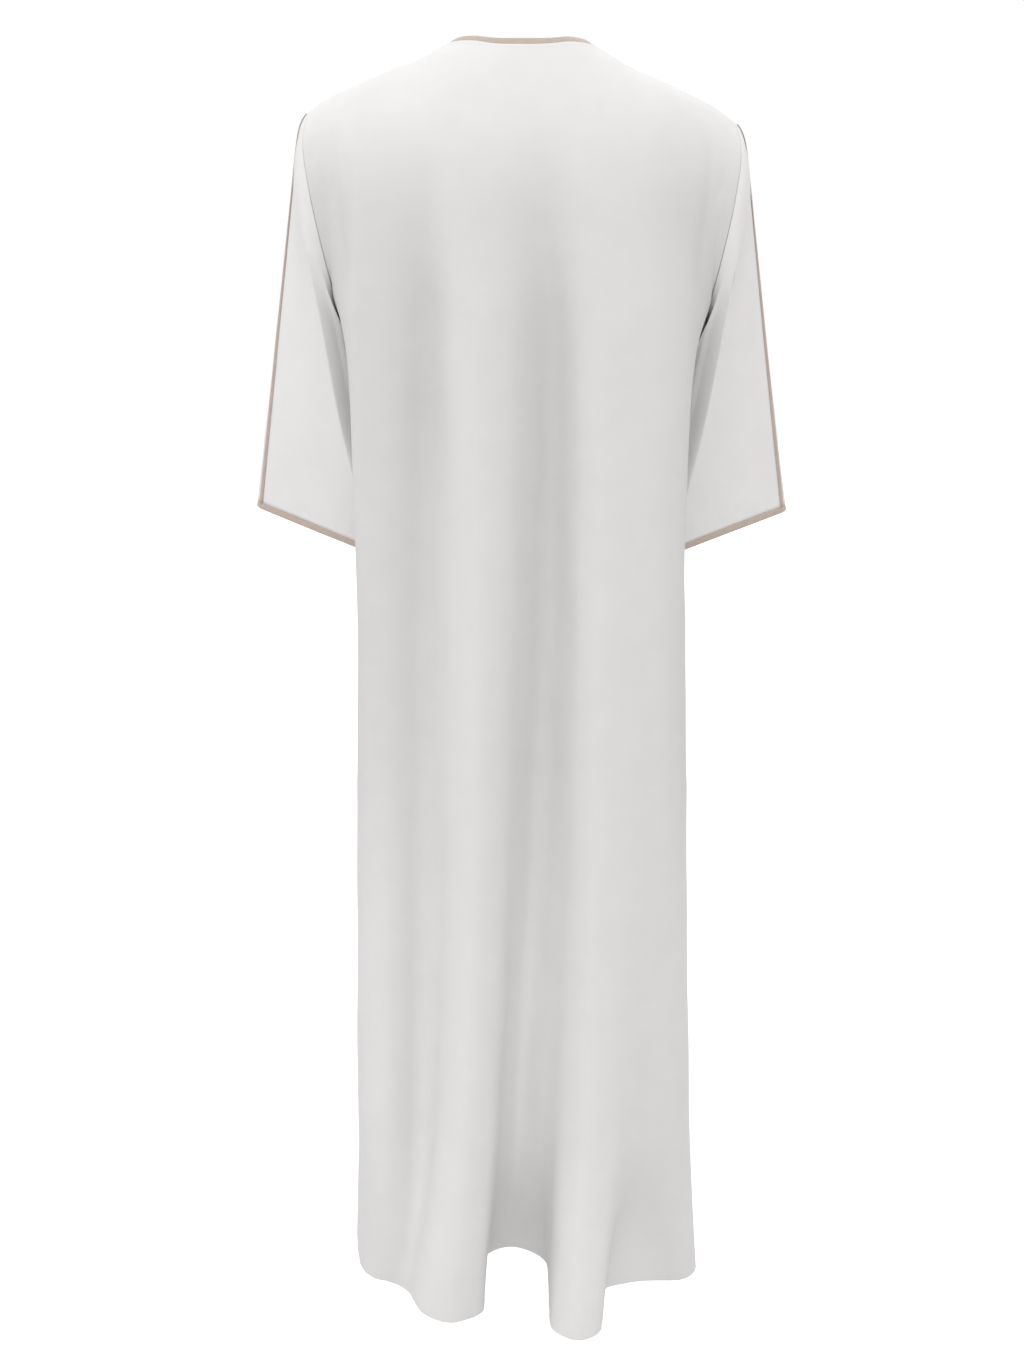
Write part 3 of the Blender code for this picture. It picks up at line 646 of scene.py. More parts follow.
class SleeveHalf:
    """The surface of one half of a sleeve, read at fractions round and down.

    Round runs from the over-arm seam, 0, to the underarm seam, 1. Down runs from the
    armhole, 0, to the cuff, 1.
    """

    def __init__(self, hand, side, lines, reach):
        self.hand = hand
        self.side = side
        self.reach = side * reach
        turn, x, y = np.array([row[1:] for row in lines], float).T
        self.line_turns = np.radians(turn)
        self.cuff_x = x * MM
        self.cuff_y = y * MM

    def plain(self, turn, down):
        """The sleeve as it lies before its fold, with straight lines from armhole to cuff."""
        armhole = armhole_line(self.reach, 1, turn)
        x = curve_through(self.line_turns, self.cuff_x, turn)
        y = curve_through(self.line_turns, self.cuff_y, turn)
        cuff = stacked(x, y, CUFF_OUTER_Z - CUFF_SLOPE * (CUFF_OUTER_X - x))
        below = (1 - np.cos(turn)) / 2
        roll = stacked(
            CAP_ROLL + (UNDERARM_ROLL - CAP_ROLL) * below,
            CAP_ROLL_DEPTH * self.side * np.sin(turn),
            0.0,
        )
        rolled = (1 - down) * (1 - np.exp(-down / CAP_ROLL_SHARE))
        points = armhole + (cuff - armhole) * down[:, None] + roll * rolled[:, None]
        points[:, 0] += UNDERARM_STANDOFF * below * (1 - down)
        return points

    def surface(self, round_half, down):
        """Places of the half, with its fold, its inner fold and its tuck at the underarm."""
        turn = math.pi * round_half
        points = self.plain(turn, down)
        tucked = ease(*TUCK_TURNS, turn) * ease(*TUCK_BEGINS, down) * (1 - ease(*TUCK_FADES, down))
        points[:, 0] -= UNDERARM_TUCK * tucked
        if self.side > 0:
            fold_out = FOLD_OUT * ease(*FOLD_BEGINS, down) * (1 - ease(*FOLD_FADES, down))
            share = np.minimum(turn / FOLD_TURN, 1.0)
            beyond = np.clip((turn - FOLD_TURN) / FOLD_SPREAD, 0.0, 1.0)
            seam = self.plain(np.zeros_like(turn), down)
            fold = self.plain(np.full_like(turn, FOLD_TURN), down)
            flat = FLATNESS * ease(*FLAT_BEGINS, down) * (turn < FOLD_TURN)
            points += (seam + (fold - seam) * share[:, None] - points) * flat[:, None]
            points[:, 0] += fold_out * share * (1 - beyond)
            inner = np.exp(-(((turn - INNER_TURN) / INNER_SPREAD) ** 2))
            drop = np.clip((turn - FOLD_TURN) / INNER_DROP_TURN, 0.0, 1.0)
            drop *= 1 - ease(*INNER_DROP_FADES, turn)
            between = ease(*INNER_BEGINS, down) * (1 - ease(*INNER_FADES, down))
            points[:, 0] -= INNER_IN * inner * between
            points[:, 1] -= INNER_DROP * drop * between
        return points * np.array([self.hand, 1, 1])


# Cloth -----------------------------------------------------------------------------------


def read_grid(surface, across, down):
    """Places of a surface on a grid, one row for each step down."""
    shape = np.broadcast_shapes(across.shape, down.shape)
    places = surface(np.broadcast_to(across, shape).ravel(), np.broadcast_to(down, shape).ravel())
    return leaning(places.reshape(*shape, 3))


def normals_of(places, outward):
    """Outward normals of a grid of places; outward is 1 or -1."""
    along = np.gradient(places, axis=1)
    fall = np.gradient(places, axis=0)
    return unit(np.cross(along, fall)) * outward


def lengths_along(places, axis):
    """How far each place of a grid lies from the grid's first edge on that axis."""
    steps = np.linalg.norm(np.diff(places, axis=axis), axis=-1)
    first = np.zeros_like(np.take(steps, [0], axis=axis))
    return np.concatenate((first, np.cumsum(steps, axis=axis)), axis=axis)


def softened(places, axis, rounds, weight):
    """Places evened out along one axis by that many rounds, as far as the weight says."""
    weight = np.moveaxis(np.broadcast_to(weight, places.shape[:-1]), axis, 0)[1:-1, :, None]
    places = np.moveaxis(places.copy(), axis, 0)
    for _ in range(rounds):
        between = (places[:-2] + places[2:]) / 2
        places[1:-1] += weight * (between - places[1:-1]) / 2
    return np.moveaxis(places, 0, axis)


def distance_from_sides(places):
    """How far each place lies from the first and last columns."""
    along = lengths_along(places, 1)
    return np.minimum(along, along[:, -1:] - along)


def crease_lift(places, creases):
    """How far the creases lift the cloth at each place."""
    x, z = places[..., 0].ravel(), places[..., 2].ravel()
    lift = np.zeros_like(x)
    for crease in creases:
        rows = np.array(crease, float) * MM
        knots = spaced_by(np.hypot(*np.diff(rows[:, :2], axis=0).T))
        at = np.linspace(0.0, 1.0, CREASE_SAMPLES)
        line = np.stack([curve_through(knots, column, at) for column in rows.T], axis=1)
        reach = CREASE_REACH * line[:, 3].max()
        near = (np.abs(x - np.clip(x, line[:, 0].min(), line[:, 0].max())) < reach) & (
            np.abs(z - np.clip(z, line[:, 1].min(), line[:, 1].max())) < reach
        )
        way = unit(np.gradient(line[:, :2], axis=0))
        apart = (x[near, None] - line[:, 0]) ** 2 + (z[near, None] - line[:, 1]) ** 2
        closest = apart.argmin(axis=1)
        ahead = (
            (x[near] - line[closest, 0]) * way[closest, 0]
            + (z[near] - line[closest, 1]) * way[closest, 1]
        )
        spacing = np.linalg.norm(np.diff(line[:, :2], axis=0), axis=1).mean()
        step = np.clip(closest + ahead / spacing, 0, CREASE_SAMPLES - 1)
        inside = (closest > 0) & (closest < CREASE_SAMPLES - 1)
        across = apart.min(axis=1) - np.where(inside, ahead**2, 0.0)
        height = np.interp(step, np.arange(CREASE_SAMPLES), line[:, 2])
        width = np.interp(step, np.arange(CREASE_SAMPLES), line[:, 3])
        core = width * CREASE_CORE
        lift[near] += height * np.exp((core - np.sqrt(np.maximum(across, 0.0) + core**2)) / width)
    return lift.reshape(places.shape[:-1])


def sheet_object(name, places, outward, material, thickness, closed=False, painted_shade=None):
    """A sheet of cloth laid on a grid of places, with its wall on the side away from outward.

    Outward holds a direction for each place, and painted_shade the painted shade of each, or
    None where the sheet has none, which paints it at its lightest.
    Closed joins the last column to the first.
    """
    if closed:
        places = np.concatenate((places, places[:, :1]), axis=1)
        outward = np.concatenate((outward, outward[:, :1]), axis=1)
    rows, columns, _ = places.shape
    along = lengths_along(places, 1).mean(axis=0)
    down = lengths_along(places, 0).mean(axis=1)
    sheet = bmesh.new()
    bmesh.ops.create_grid(sheet, x_segments=columns - 1, y_segments=rows - 1, size=UNIT_RADIUS)
    lay = sheet.loops.layers.uv.new(LAY)
    # The layer that holds each place's painted shade.
    depth = sheet.verts.layers.float.new(PAINTED_SHADE_NAME)
    for index, vert in enumerate(sheet.verts):
        row, column = divmod(index, columns)
        vert.co = places[row, column]
        # A sheet with no painted shade, such as a sleeve, is painted at its lightest, lighter than
        # the body's plain cloth.
        vert[depth] = PAINTED_SHADE_LIGHTEST if painted_shade is None else painted_shade[row, column]
        for loop in vert.link_loops:
            loop[lay].uv = (along[column], down[row])
    sheet.normal_update()
    facing = sum(
        vert.normal.dot(Vector(outward[divmod(index, columns)]))
        for index, vert in enumerate(sheet.verts)
    )
    if facing < 0:
        bmesh.ops.reverse_faces(sheet, faces=sheet.faces)
    if closed:
        bmesh.ops.remove_doubles(sheet, verts=sheet.verts, dist=SAME_PLACE)
    piece = object_from(sheet, name, material)
    wall = piece.modifiers.new("wall", "SOLIDIFY")
    wall.thickness = thickness
    wall.offset = -1
    return piece


def object_from(shape, name, material):
    """The finished object of a bmesh, which is freed."""
    mesh = bpy.data.meshes.new(name)
    shape.to_mesh(mesh)
    shape.free()
    mesh.shade_smooth()
    mesh.materials.append(material)
    piece = bpy.data.objects.new(name, mesh)
    bpy.context.scene.collection.objects.link(piece)
    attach(piece, "root")
    return piece


def body_panel(side):
    """The surface of the back, side 1, or of the front, side -1."""
    if side > 0:
        return BodyPanel(1, BACK_FOLDS, CHEST_BACK_DEPTH, ARMHOLE_BACK_REACH, PRESS_FADE_BACK)
    return BodyPanel(-1, FRONT_FOLDS, CHEST_FRONT_DEPTH, ARMHOLE_FRONT_REACH, PRESS_FADE_FRONT)


def puff(distance):
    """The cloth's swell beside a seam, at a distance from it."""
    rise = SEAM_HEIGHT * (1 - np.exp(-((distance / SEAM_ROLL) ** 2)))
    return rise * np.exp(-distance / SEAM_SWELL)


def armhole_swell(places, distance):
    """The cloth's swell beside the lower armhole, where it turns in to the seam."""
    low = -places[..., 2]
    along = ease(*SWELL_BEGINS, low) * (1 - ease(*SWELL_ENDS, low))
    across = (1 - np.exp(-((distance / SWELL_ROLL) ** 2))) * np.exp(-distance / SWELL_WIDTH)
    return SWELL_HEIGHT * along * across


def unevenness(places):
    """The faint waves that cloth keeps from being folded and handled."""
    x, y, z = (places[..., axis] for axis in range(3))
    lift = np.zeros_like(x)
    for height, wave_x, wave_y, wave_z, start in WAVES:
        turns = x / (wave_x * MM) + y / (wave_y * MM) + z / (wave_z * MM)
        lift += height * MM * np.sin(2 * math.pi * turns + start)
    return lift


def painted_shade_of(places, side):
    """The painted shade of each place of the body, higher where the cloth is painted darker.

    The depth of a fold is told against the same ring with its folds levelled out.
    """
    depth = side * places[..., 1]
    columns = depth.shape[1]
    once = (2 * np.eye(columns) + np.eye(columns, k=1) + np.eye(columns, k=-1)) / 4
    once[[0, -1]] = np.eye(columns)[[0, -1]]
    level = depth @ np.linalg.matrix_power(once, PAINTED_SHADE_ROUNDS).T
    sunk = (level - depth) / PAINTED_SHADE_FOLD_DEPTH
    below = ease(*PAINTED_SHADE_BEGINS, -places[..., 2])
    near_hem = ease(*PAINTED_SHADE_ENDS, -places[..., 2])
    deep = np.tanh(sunk)
    folded = PAINTED_SHADE_PLAIN + PAINTED_SHADE_SWING * deep * (1 - near_hem)
    # Painted shade at the sides of the body, where the cloth turns away from the front.
    beside = 1 - PAINTED_SIDE_SHADE_SWING * ease(*PAINTED_SIDE_SHADE_REACH, depth)
    folded = np.maximum(folded, beside * (1 - near_hem))
    # Painted light near the hem, where hollows and crests are both painted lighter.
    folded = folded - np.where(deep > 0, HEM_HOLLOW_PAINTED_LIGHT, -HEM_CREST_PAINTED_LIGHT) * deep * near_hem
    return folded * below + PAINTED_SHADE_LIGHTEST * (1 - below)


def hem_pucker(along, above):
    """The small puckers of the hem's stitching, at a height above its edge."""
    wave = sum(np.sin(2 * math.pi * along / (length * MM) + start) for length, start in HEM_WAVES)
    return HEM_PUCKER * wave * np.exp(-above / HEM_PUCKER_REACH)


def evened_out(places):
    """The body's cloth, softened at the chest and across its folds but not at its seams."""
    inside = ease(0, SOFT_FROM_SIDES, distance_from_sides(places))
    inside = inside * ease(0, SOFT_FROM_TOP, lengths_along(places, 0))
    near_chest = 1 - ease(*CHEST_REACH, np.abs(places[..., 2] + CHEST_DROP))
    places = softened(places, 0, CHEST_ROUNDS, inside * near_chest)
    above_hem = ease(*HEM_CRISP, places[..., 2])
    soft = HEM_SOFTENING + (1 - HEM_SOFTENING) * above_hem
    return softened(places, 1, FOLD_ROUNDS, inside * soft)


def hem_turning(places, normals):
    """The rows of cloth that fold round the hem edge and run up again inside."""
    edge, up = places[-1], unit(places[-2] - places[-1])
    middle = edge - normals[-1] * HEM_RADIUS
    fold = [
        middle + normals[-1] * HEM_RADIUS * np.cos(turn) - up * HEM_RADIUS * np.sin(turn)
        for turn in HEM_TURN
    ]
    turned = (places - normals * 2 * HEM_RADIUS)[-len(HEM_ROWS):][::-1]
    return np.concatenate((fold, turned))


def body_cloth(name, side, creases, material, thickness):
    """The back or the front, with its creases, and its hem turned up inside.

    The line of the hem's stitches and its outward directions come with it.
    """
    panel = body_panel(side)
    places = evened_out(read_grid(panel.surface, *panel.grid(HEM_ROWS)))
    outward = -side
    creased = crease_lift(places, creases)
    # Painted shade from the folds, darker still along the creases' troughs above the hips.
    shown = 1 - ease(*CREASE_SHADE_FADES, -places[..., 2])
    painted_shade = painted_shade_of(places, side) - shown * creased / CREASE_SHADE_DEPTH
    normals = normals_of(places, outward)
    from_sides = distance_from_sides(places)
    from_top = lengths_along(places, 0)
    from_hem = from_top[-1:] - from_top
    lift = creased + unevenness(places) + hem_pucker(lengths_along(places, 1), from_hem)
    lift *= ease(0, SEAM_FADE, from_sides) * ease(0, SEAM_FADE, from_top)
    lift += puff(from_sides) + armhole_swell(places, from_sides)
    places = places + normals * lift[..., None]
    normals = normals_of(places, outward)
    turning = hem_turning(places, normals)
    laid = np.concatenate((places, turning))
    painted_shade = np.concatenate((painted_shade, np.repeat(painted_shade[-1:], len(turning), axis=0)))
    piece = sheet_object(name, laid, normals_of(laid, outward), material, thickness, painted_shade=painted_shade)
    return piece, places[-1 - HEM_STITCH_ROW], normals[-1 - HEM_STITCH_ROW]


def sleeve_half(label, side_name):
    """The places of one half of a sleeve, and which way its grid faces."""
    hand = 1 if label == "left" else -1
    if side_name == "back":
        half, outward = SleeveHalf(hand, 1, SLEEVE_BACK_LINES, ARMHOLE_BACK_REACH), -hand
    else:
        half, outward = SleeveHalf(hand, -1, SLEEVE_FRONT_LINES, ARMHOLE_FRONT_REACH), hand
    from_seam = np.minimum(1.0, COLUMN_FIRST + COLUMN_GROWTH * np.arange(SLEEVE_COLUMNS // 2))
    across = spaced_by(np.concatenate((from_seam, from_seam[::-1])))
    down = finer_at_start(SLEEVE_ROWS, ROW_FIRST, ROW_GROWTH)
    return read_grid(half.surface, across, down[:, None]), outward


def sleeve_cloth(label, side_name, creases, material, thickness):
    """One half of a sleeve, with its creases, which are mirrored on the right."""
    places, outward = sleeve_half(label, side_name)
    if label == "right":
        creases = [[(-x, z, lift, width) for x, z, lift, width in crease] for crease in creases]
    normals = normals_of(places, outward)
    from_sides = distance_from_sides(places)
    from_top = lengths_along(places, 0)
    from_cuff = from_top[-1:] - from_top
    lift = crease_lift(places, creases) + unevenness(places)
    lift *= (
        ease(0, SEAM_FADE, from_sides) * ease(0, SEAM_FADE, from_top)
        * ease(0, CUFF_FADE, from_cuff)
    )
    lift += puff(np.minimum(from_sides, from_top))
    places = places + normals * lift[..., None]
    name = f"{label}_sleeve_{side_name}_cloth"
    return sheet_object(name, places, normals_of(places, outward), material, thickness)


# Tapes -----------------------------------------------------------------------------------


def ring_tangent(ring):
    """The direction of a closed ring at each of its places, at any length."""
    return np.roll(ring, -1, axis=0) - np.roll(ring, 1, axis=0)


def swept(edge, way, normals, profile, facing=None):
    """Places and outward directions of a profile carried along a line.

    The profile's points are how far on the way and how far out on the normal they lie. The
    outward directions are told from facing where the way isn't one direction.
    """
    profile = np.array(profile) * MM
    places = edge + profile[:, :1, None] * way + profile[:, 1:, None] * normals
    step = np.gradient(profile, axis=0)
    out = unit(np.stack((-step[:, 1], step[:, 0]), axis=1))
    facing = way if facing is None else facing
    return places, out[:, :1, None] * facing + out[:, 1:, None] * normals


def neck_frame():
    """The neck edge, the way into the opening and the outward normals, all round."""
    back, front = body_panel(1), body_panel(-1)
    along = np.linspace(0.0, 1.0, NECK_COLUMNS + 1)
    rings = []
    for inset in (0.0, TAPE_WIDTH):
        over_back = leaning(back.neck_edge(along, inset))
        over_front = leaning(front.neck_edge(along, inset))
        rings.append(np.concatenate((over_back[:-1], over_front[::-1][:-1])))
    edge, opening = rings
    normals = unit(np.cross(ring_tangent(edge), opening - edge))
    return edge, (opening - edge) / TAPE_WIDTH, normals


def cuff_frame(label):
    """The cuff edge, the way out of the sleeve and the outward normals, all round."""
    parts = []
    for side_name, turn, keep in (
        ("back", slice(None), slice(None)),
        ("front", slice(None, None, -1), slice(1, -1)),
    ):
        places, outward = sleeve_half(label, side_name)
        normal = normals_of(places, outward)
        parts.append([rows[turn][keep] for rows in (places[-1], places[-2], normal[-1])])
    edge, above, normal = (np.concatenate(pair) for pair in zip(*parts))
    way = unit(np.cross(normal, ring_tangent(edge)))
    way *= np.sign(np.sum(way * (edge - above)))
    return edge, way, normal


def arm_frame(label):
    """The over-arm seam, the ways from it to the back and the front, and its normals."""
    back, outward = sleeve_half(label, "back")
    front, _ = sleeve_half(label, "front")
    normals = unit(normals_of(back, outward)[:, 0] + normals_of(front, -outward)[:, 0])
    seam = back[:, 0]
    keep = lengths_along(seam[None], 1)[0] > ARM_TAPE_START
    to_back, to_front = unit(back[:, 2] - seam), unit(front[:, 2] - seam)
    return seam[keep], to_back[keep], to_front[keep], normals[keep]


def arm_tape(label, material, thickness):
    """The flat tape laid over the over-arm seam, with both its edges turned under."""
    seam, to_back, to_front, normals = arm_frame(label)
    ahead = np.array(ARM_TAPE_PROFILE)[:, :1, None] > 0
    way = np.where(ahead, to_front, -to_back)
    facing = unit(to_front - to_back)
    places, outward = swept(seam, way, normals, ARM_TAPE_PROFILE, facing)
    return sheet_object(f"{label}_arm_tape", places, outward, material, thickness)


# Stitches --------------------------------------------------------------------------------


def laid_on(pieces, line):
    """The places of a line pulled on to the nearest of some pieces, and their normals."""
    trees = []
    for piece in pieces:
        shape = bmesh.new()
        shape.from_mesh(piece.data)
        trees.append(BVHTree.FromBMesh(shape))
        shape.free()
    nearest = [
        min((tree.find_nearest(place) for tree in trees), key=lambda hit: hit[3])
        for place in line
    ]
    return np.array([hit[0] for hit in nearest]), np.array([hit[1] for hit in nearest])


def read_line(line, reach, at):
    """What a line of rows says at a length along it."""
    return Vector([np.interp(at, reach, line[:, axis]) for axis in range(3)])


def stitches(name, rows, material, settings):
    """Rows of stitches, each row a line of places and the directions away from the cloth."""
    seam = bmesh.new()
    length, gap, thickness = settings.length, settings.gap, settings.thickness
    sized = Matrix.Diagonal((thickness, thickness, length, 1))
    for line, outward in rows:
        reach = lengths_along(line[None], 1)[0]
        for start in np.arange(gap, reach[-1] - length, length + gap):
            first, last = (read_line(line, reach, at) for at in (start, start + length))
            out = read_line(outward, reach, start).normalized()
            along = (last - first).normalized()
            across = out.cross(along).normalized()
            turned = Matrix((across, along.cross(across), along)).transposed().to_4x4()
            middle = Matrix.Translation((first + last) / 2 + out * thickness * STITCH_RISE)
            bmesh.ops.create_icosphere(
                seam, subdivisions=1, radius=UNIT_RADIUS, matrix=middle @ turned @ sized,
            )
    piece = object_from(seam, name, material)
    return piece


# Finishes --------------------------------------------------------------------------------


def new_group(name, inputs, outputs):
    """An empty group of shader nodes with named inputs and outputs."""
    group = bpy.data.node_groups.new(name, "ShaderNodeTree")
    for label, kind, value in inputs:
        socket = group.interface.new_socket(label, in_out="INPUT", socket_type=kind)
        if value is not None:
            socket.default_value = value
    for label, kind in outputs:
        group.interface.new_socket(label, in_out="OUTPUT", socket_type=kind)
    return group, group.nodes.new("NodeGroupInput"), group.nodes.new("NodeGroupOutput")


def mottle_group():
    """Soft cloudy values between Low and High, with patches of a size in metres."""
    name = "soft_mottle"
    if name in bpy.data.node_groups:
        return bpy.data.node_groups[name]
    group, given, result = new_group(
        name,
        (("Vector", "NodeSocketVector", None), ("Patch", "NodeSocketFloat", 0.02),
         ("Low", "NodeSocketFloat", 0.0), ("High", "NodeSocketFloat", 1.0)),
        (("Value", "NodeSocketFloat"),),
    )
    scale = group.nodes.new("ShaderNodeMath")
    scale.operation = "DIVIDE"
    scale.inputs[0].default_value = 1.0
    clouds = group.nodes.new("ShaderNodeTexNoise")
    clouds.inputs["Detail"].default_value = CLOUD_DETAIL
    spread = group.nodes.new("ShaderNodeMapRange")
    spread.inputs["From Min"].default_value, spread.inputs["From Max"].default_value = CLOUD_RANGE
    group.links.new(given.outputs["Patch"], scale.inputs[1])
    group.links.new(given.outputs["Vector"], clouds.inputs["Vector"])
    group.links.new(scale.outputs[0], clouds.inputs["Scale"])
    group.links.new(clouds.outputs["Fac"], spread.inputs["Value"])
    group.links.new(given.outputs["Low"], spread.inputs["To Min"])
    group.links.new(given.outputs["High"], spread.inputs["To Max"])
    group.links.new(spread.outputs["Result"], result.inputs["Value"])
    return group


def thread_group():
    """The height of woven threads that cross, each of a width in metres, with slubs."""
    name = "woven_threads"
    if name in bpy.data.node_groups:
        return bpy.data.node_groups[name]
    group, given, result = new_group(
        name,
        (("Vector", "NodeSocketVector", None), ("Warp", "NodeSocketFloat", 0.0006),
         ("Weft", "NodeSocketFloat", 0.0006), ("Twist", "NodeSocketFloat", 1.5)),
        (("Height", "NodeSocketFloat"),),
    )
    heights = []
    for direction, width in (("X", "Warp"), ("Y", "Weft")):
        scale = group.nodes.new("ShaderNodeMath")
        scale.operation = "DIVIDE"
        scale.inputs[0].default_value = WAVE_TURN
        threads = group.nodes.new("ShaderNodeTexWave")
        threads.bands_direction = direction
        threads.inputs["Detail"].default_value = THREAD_DETAIL
        threads.inputs["Detail Scale"].default_value = THREAD_DETAIL_SCALE
        group.links.new(given.outputs[width], scale.inputs[1])
        group.links.new(given.outputs["Vector"], threads.inputs["Vector"])
        group.links.new(given.outputs["Twist"], threads.inputs["Distortion"])
        group.links.new(scale.outputs[0], threads.inputs["Scale"])
        heights.append(threads.outputs["Fac"])
    over = group.nodes.new("ShaderNodeMath")
    over.operation = "MULTIPLY"
    group.links.new(heights[0], over.inputs[0])
    group.links.new(heights[1], over.inputs[1])
    group.links.new(over.outputs[0], result.inputs["Height"])
    return group


class Finish:
    """A material under construction, with its nodes joined by plain calls."""

    def __init__(self, name, roughness, sheen):
        self.material = bpy.data.materials.new(name)
        self.material.use_nodes = True
        self.nodes = self.material.node_tree.nodes
        self.links = self.material.node_tree.links
        self.shader = self.nodes["Principled BSDF"]
        self.shader.inputs["Roughness"].default_value = roughness
        self.shader.inputs["Sheen Weight"].default_value = sheen[0]
        self.shader.inputs["Sheen Roughness"].default_value = sheen[1]
        self.shader.inputs["Specular IOR Level"].default_value = SPECULAR

    def group(self, tree, vector, values):
        """The result of a node group at a vector, with its values set."""
        node = self.nodes.new("ShaderNodeGroup")
        node.node_tree = tree
        self.links.new(vector, node.inputs["Vector"])
        for label, value in values.items():
            node.inputs[label].default_value = value
        return node.outputs[0]

    def object_place(self):
        return self.nodes.new("ShaderNodeTexCoord").outputs["Object"]

    def lay_place(self):
        node = self.nodes.new("ShaderNodeUVMap")
        node.uv_map = LAY
        return node.outputs["UV"]

    def product(self, first, second):
        node = self.nodes.new("ShaderNodeMath")
        node.operation = "MULTIPLY"
        self.links.new(first, node.inputs[0])
        self.links.new(second, node.inputs[1])
        return node.outputs[0]

    def spread(self, value, from_range, to_range):
        """A value moved from one range to another."""
        node = self.nodes.new("ShaderNodeMapRange")
        node.inputs["From Min"].default_value, node.inputs["From Max"].default_value = from_range
        node.inputs["To Min"].default_value, node.inputs["To Max"].default_value = to_range
        self.links.new(value, node.inputs["Value"])
        return node.outputs["Result"]

    def shaded(self, colour, amount):
        """Colours the shader from black to the full colour, by an amount from 0 to 1."""
        mix = self.nodes.new("ShaderNodeMix")
        mix.data_type = "RGBA"
        a = next(socket for socket in mix.inputs if socket.name == "A" and socket.type == "RGBA")
        b = next(socket for socket in mix.inputs if socket.name == "B" and socket.type == "RGBA")
        a.default_value = BLACK
        b.default_value = (*colour, 1.0)
        out = next(socket for socket in mix.outputs if socket.type == "RGBA")
        self.links.new(amount, mix.inputs["Factor"])
        self.links.new(out, self.shader.inputs["Base Color"])

    def bumped(self, height, bumps):
        """Raises the surface by a height from 0 to 1, with the bump's strength and distance."""
        bump = self.nodes.new("ShaderNodeBump")
        bump.inputs["Strength"].default_value, bump.inputs["Distance"].default_value = bumps
        self.links.new(height, bump.inputs["Height"])
        self.links.new(bump.outputs["Normal"], self.shader.inputs["Normal"])

    def roughened(self, vector, roughness, patch, stray):
        """Lets the roughness stray either side of a middle value, in soft patches."""
        values = {"Patch": patch, "Low": roughness + stray[0], "High": roughness + stray[1]}
        value = self.group(mottle_group(), vector, values)
        self.links.new(value, self.shader.inputs["Roughness"])


def crepe(settings):
    """Matt off-white crepe, faintly pebbled, with painted shade that follows its folds."""
    if "crepe" in bpy.data.materials:
        return bpy.data.materials["crepe"]
    finish = Finish("crepe", settings.roughness, CREPE_SHEEN)
    place = finish.object_place()
    # The crepe's colour is darkened by each place's painted shade, in its folds and at the sides of
    # the body.
    sunk = finish.nodes.new("ShaderNodeAttribute")
    sunk.attribute_name = PAINTED_SHADE_NAME
    painted_shade_range = PAINTED_SHADE_DARKEST, PAINTED_SHADE_LIGHTEST
    fold = finish.spread(sunk.outputs["Fac"], painted_shade_range, (1.0 - settings.fold_shade, 1.0))
    threads = finish.group(thread_group(), finish.lay_place(), CREPE_WEAVE)
    clouds = finish.group(mottle_group(), place, CREPE_CLOUDS)
    specks = finish.spread(threads, (0.0, 1.0), CREPE_SPECKS)
    finish.shaded(settings.colour, finish.product(finish.product(fold, clouds), specks))
    finish.roughened(place, settings.roughness, CREPE_ROUGH_PATCH, CREPE_ROUGH_STRAY)
    finish.bumped(threads, CREPE_BUMP)
    return finish.material


def satin_tape(settings):
    """Beige satin-weave tape, ribbed across, with a soft sheen."""
    if "satin_tape" in bpy.data.materials:
        return bpy.data.materials["satin_tape"]
    finish = Finish("satin_tape", settings.roughness, TAPE_SHEEN)
    lay = finish.lay_place()
    threads = finish.group(thread_group(), lay, TAPE_WEAVE)
    clouds = finish.group(mottle_group(), finish.object_place(), TAPE_CLOUDS)
    specks = finish.spread(threads, (0.0, 1.0), TAPE_SPECKS)
    finish.shaded(settings.colour, finish.product(clouds, specks))
    finish.roughened(lay, settings.roughness, TAPE_ROUGH_PATCH, TAPE_ROUGH_STRAY)
    finish.bumped(threads, TAPE_BUMP)
    return finish.material


def thread(name, colour):
    """Twisted sewing thread."""
    if name in bpy.data.materials:
        return bpy.data.materials[name]
    finish = Finish(name, THREAD_ROUGHNESS, THREAD_SHEEN)
    place = finish.object_place()
    finish.shaded(colour, finish.group(mottle_group(), place, THREAD_CLOUDS))
    finish.bumped(finish.group(mottle_group(), place, THREAD_PLY), THREAD_BUMP)
    return finish.material


# Settings --------------------------------------------------------------------------------


class RobeCloth(PropertyGroup):
    """The crepe of the back, the front and the sleeves."""

    thickness: FloatProperty(
        name="Thickness", description="How thick the crepe is",
        default=0.5 * MM, min=0.2 * MM, max=2 * MM, precision=5, subtype="DISTANCE", unit="LENGTH",
    )
    colour: FloatVectorProperty(
        name="Colour", description="The crepe's off-white",
        default=(0.83, 0.818, 0.812), min=0.0, max=1.0, size=3, subtype="COLOR",
    )
    roughness: FloatProperty(
        name="Roughness", description="How matt the crepe is",
        default=0.74, min=0.1, max=0.95, subtype="FACTOR",
    )
    # Painted shade: how much darker the crepe is painted in its deepest folds than at the
    # shoulders.
    fold_shade: FloatProperty(
        name="Fold shade", description="How much darker the deepest folds are than the shoulders",
        default=0.2, min=0.0, max=0.4, subtype="FACTOR",
    )


class RobeTape(PropertyGroup):
    """The beige tape of the neck, the cuffs and the over-arm seams."""

    thickness: FloatProperty(
        name="Thickness", description="How thick one layer of the tape is",
        default=0.3 * MM, min=0.1 * MM, max=1 * MM, precision=5, subtype="DISTANCE", unit="LENGTH",
    )
    colour: FloatVectorProperty(
        name="Colour", description="The tape's beige",
        default=(0.63, 0.515, 0.445), min=0.0, max=1.0, size=3, subtype="COLOR",
    )
    roughness: FloatProperty(
        name="Roughness", description="How matt the tape is",
        default=0.5, min=0.15, max=0.9, subtype="FACTOR",
    )


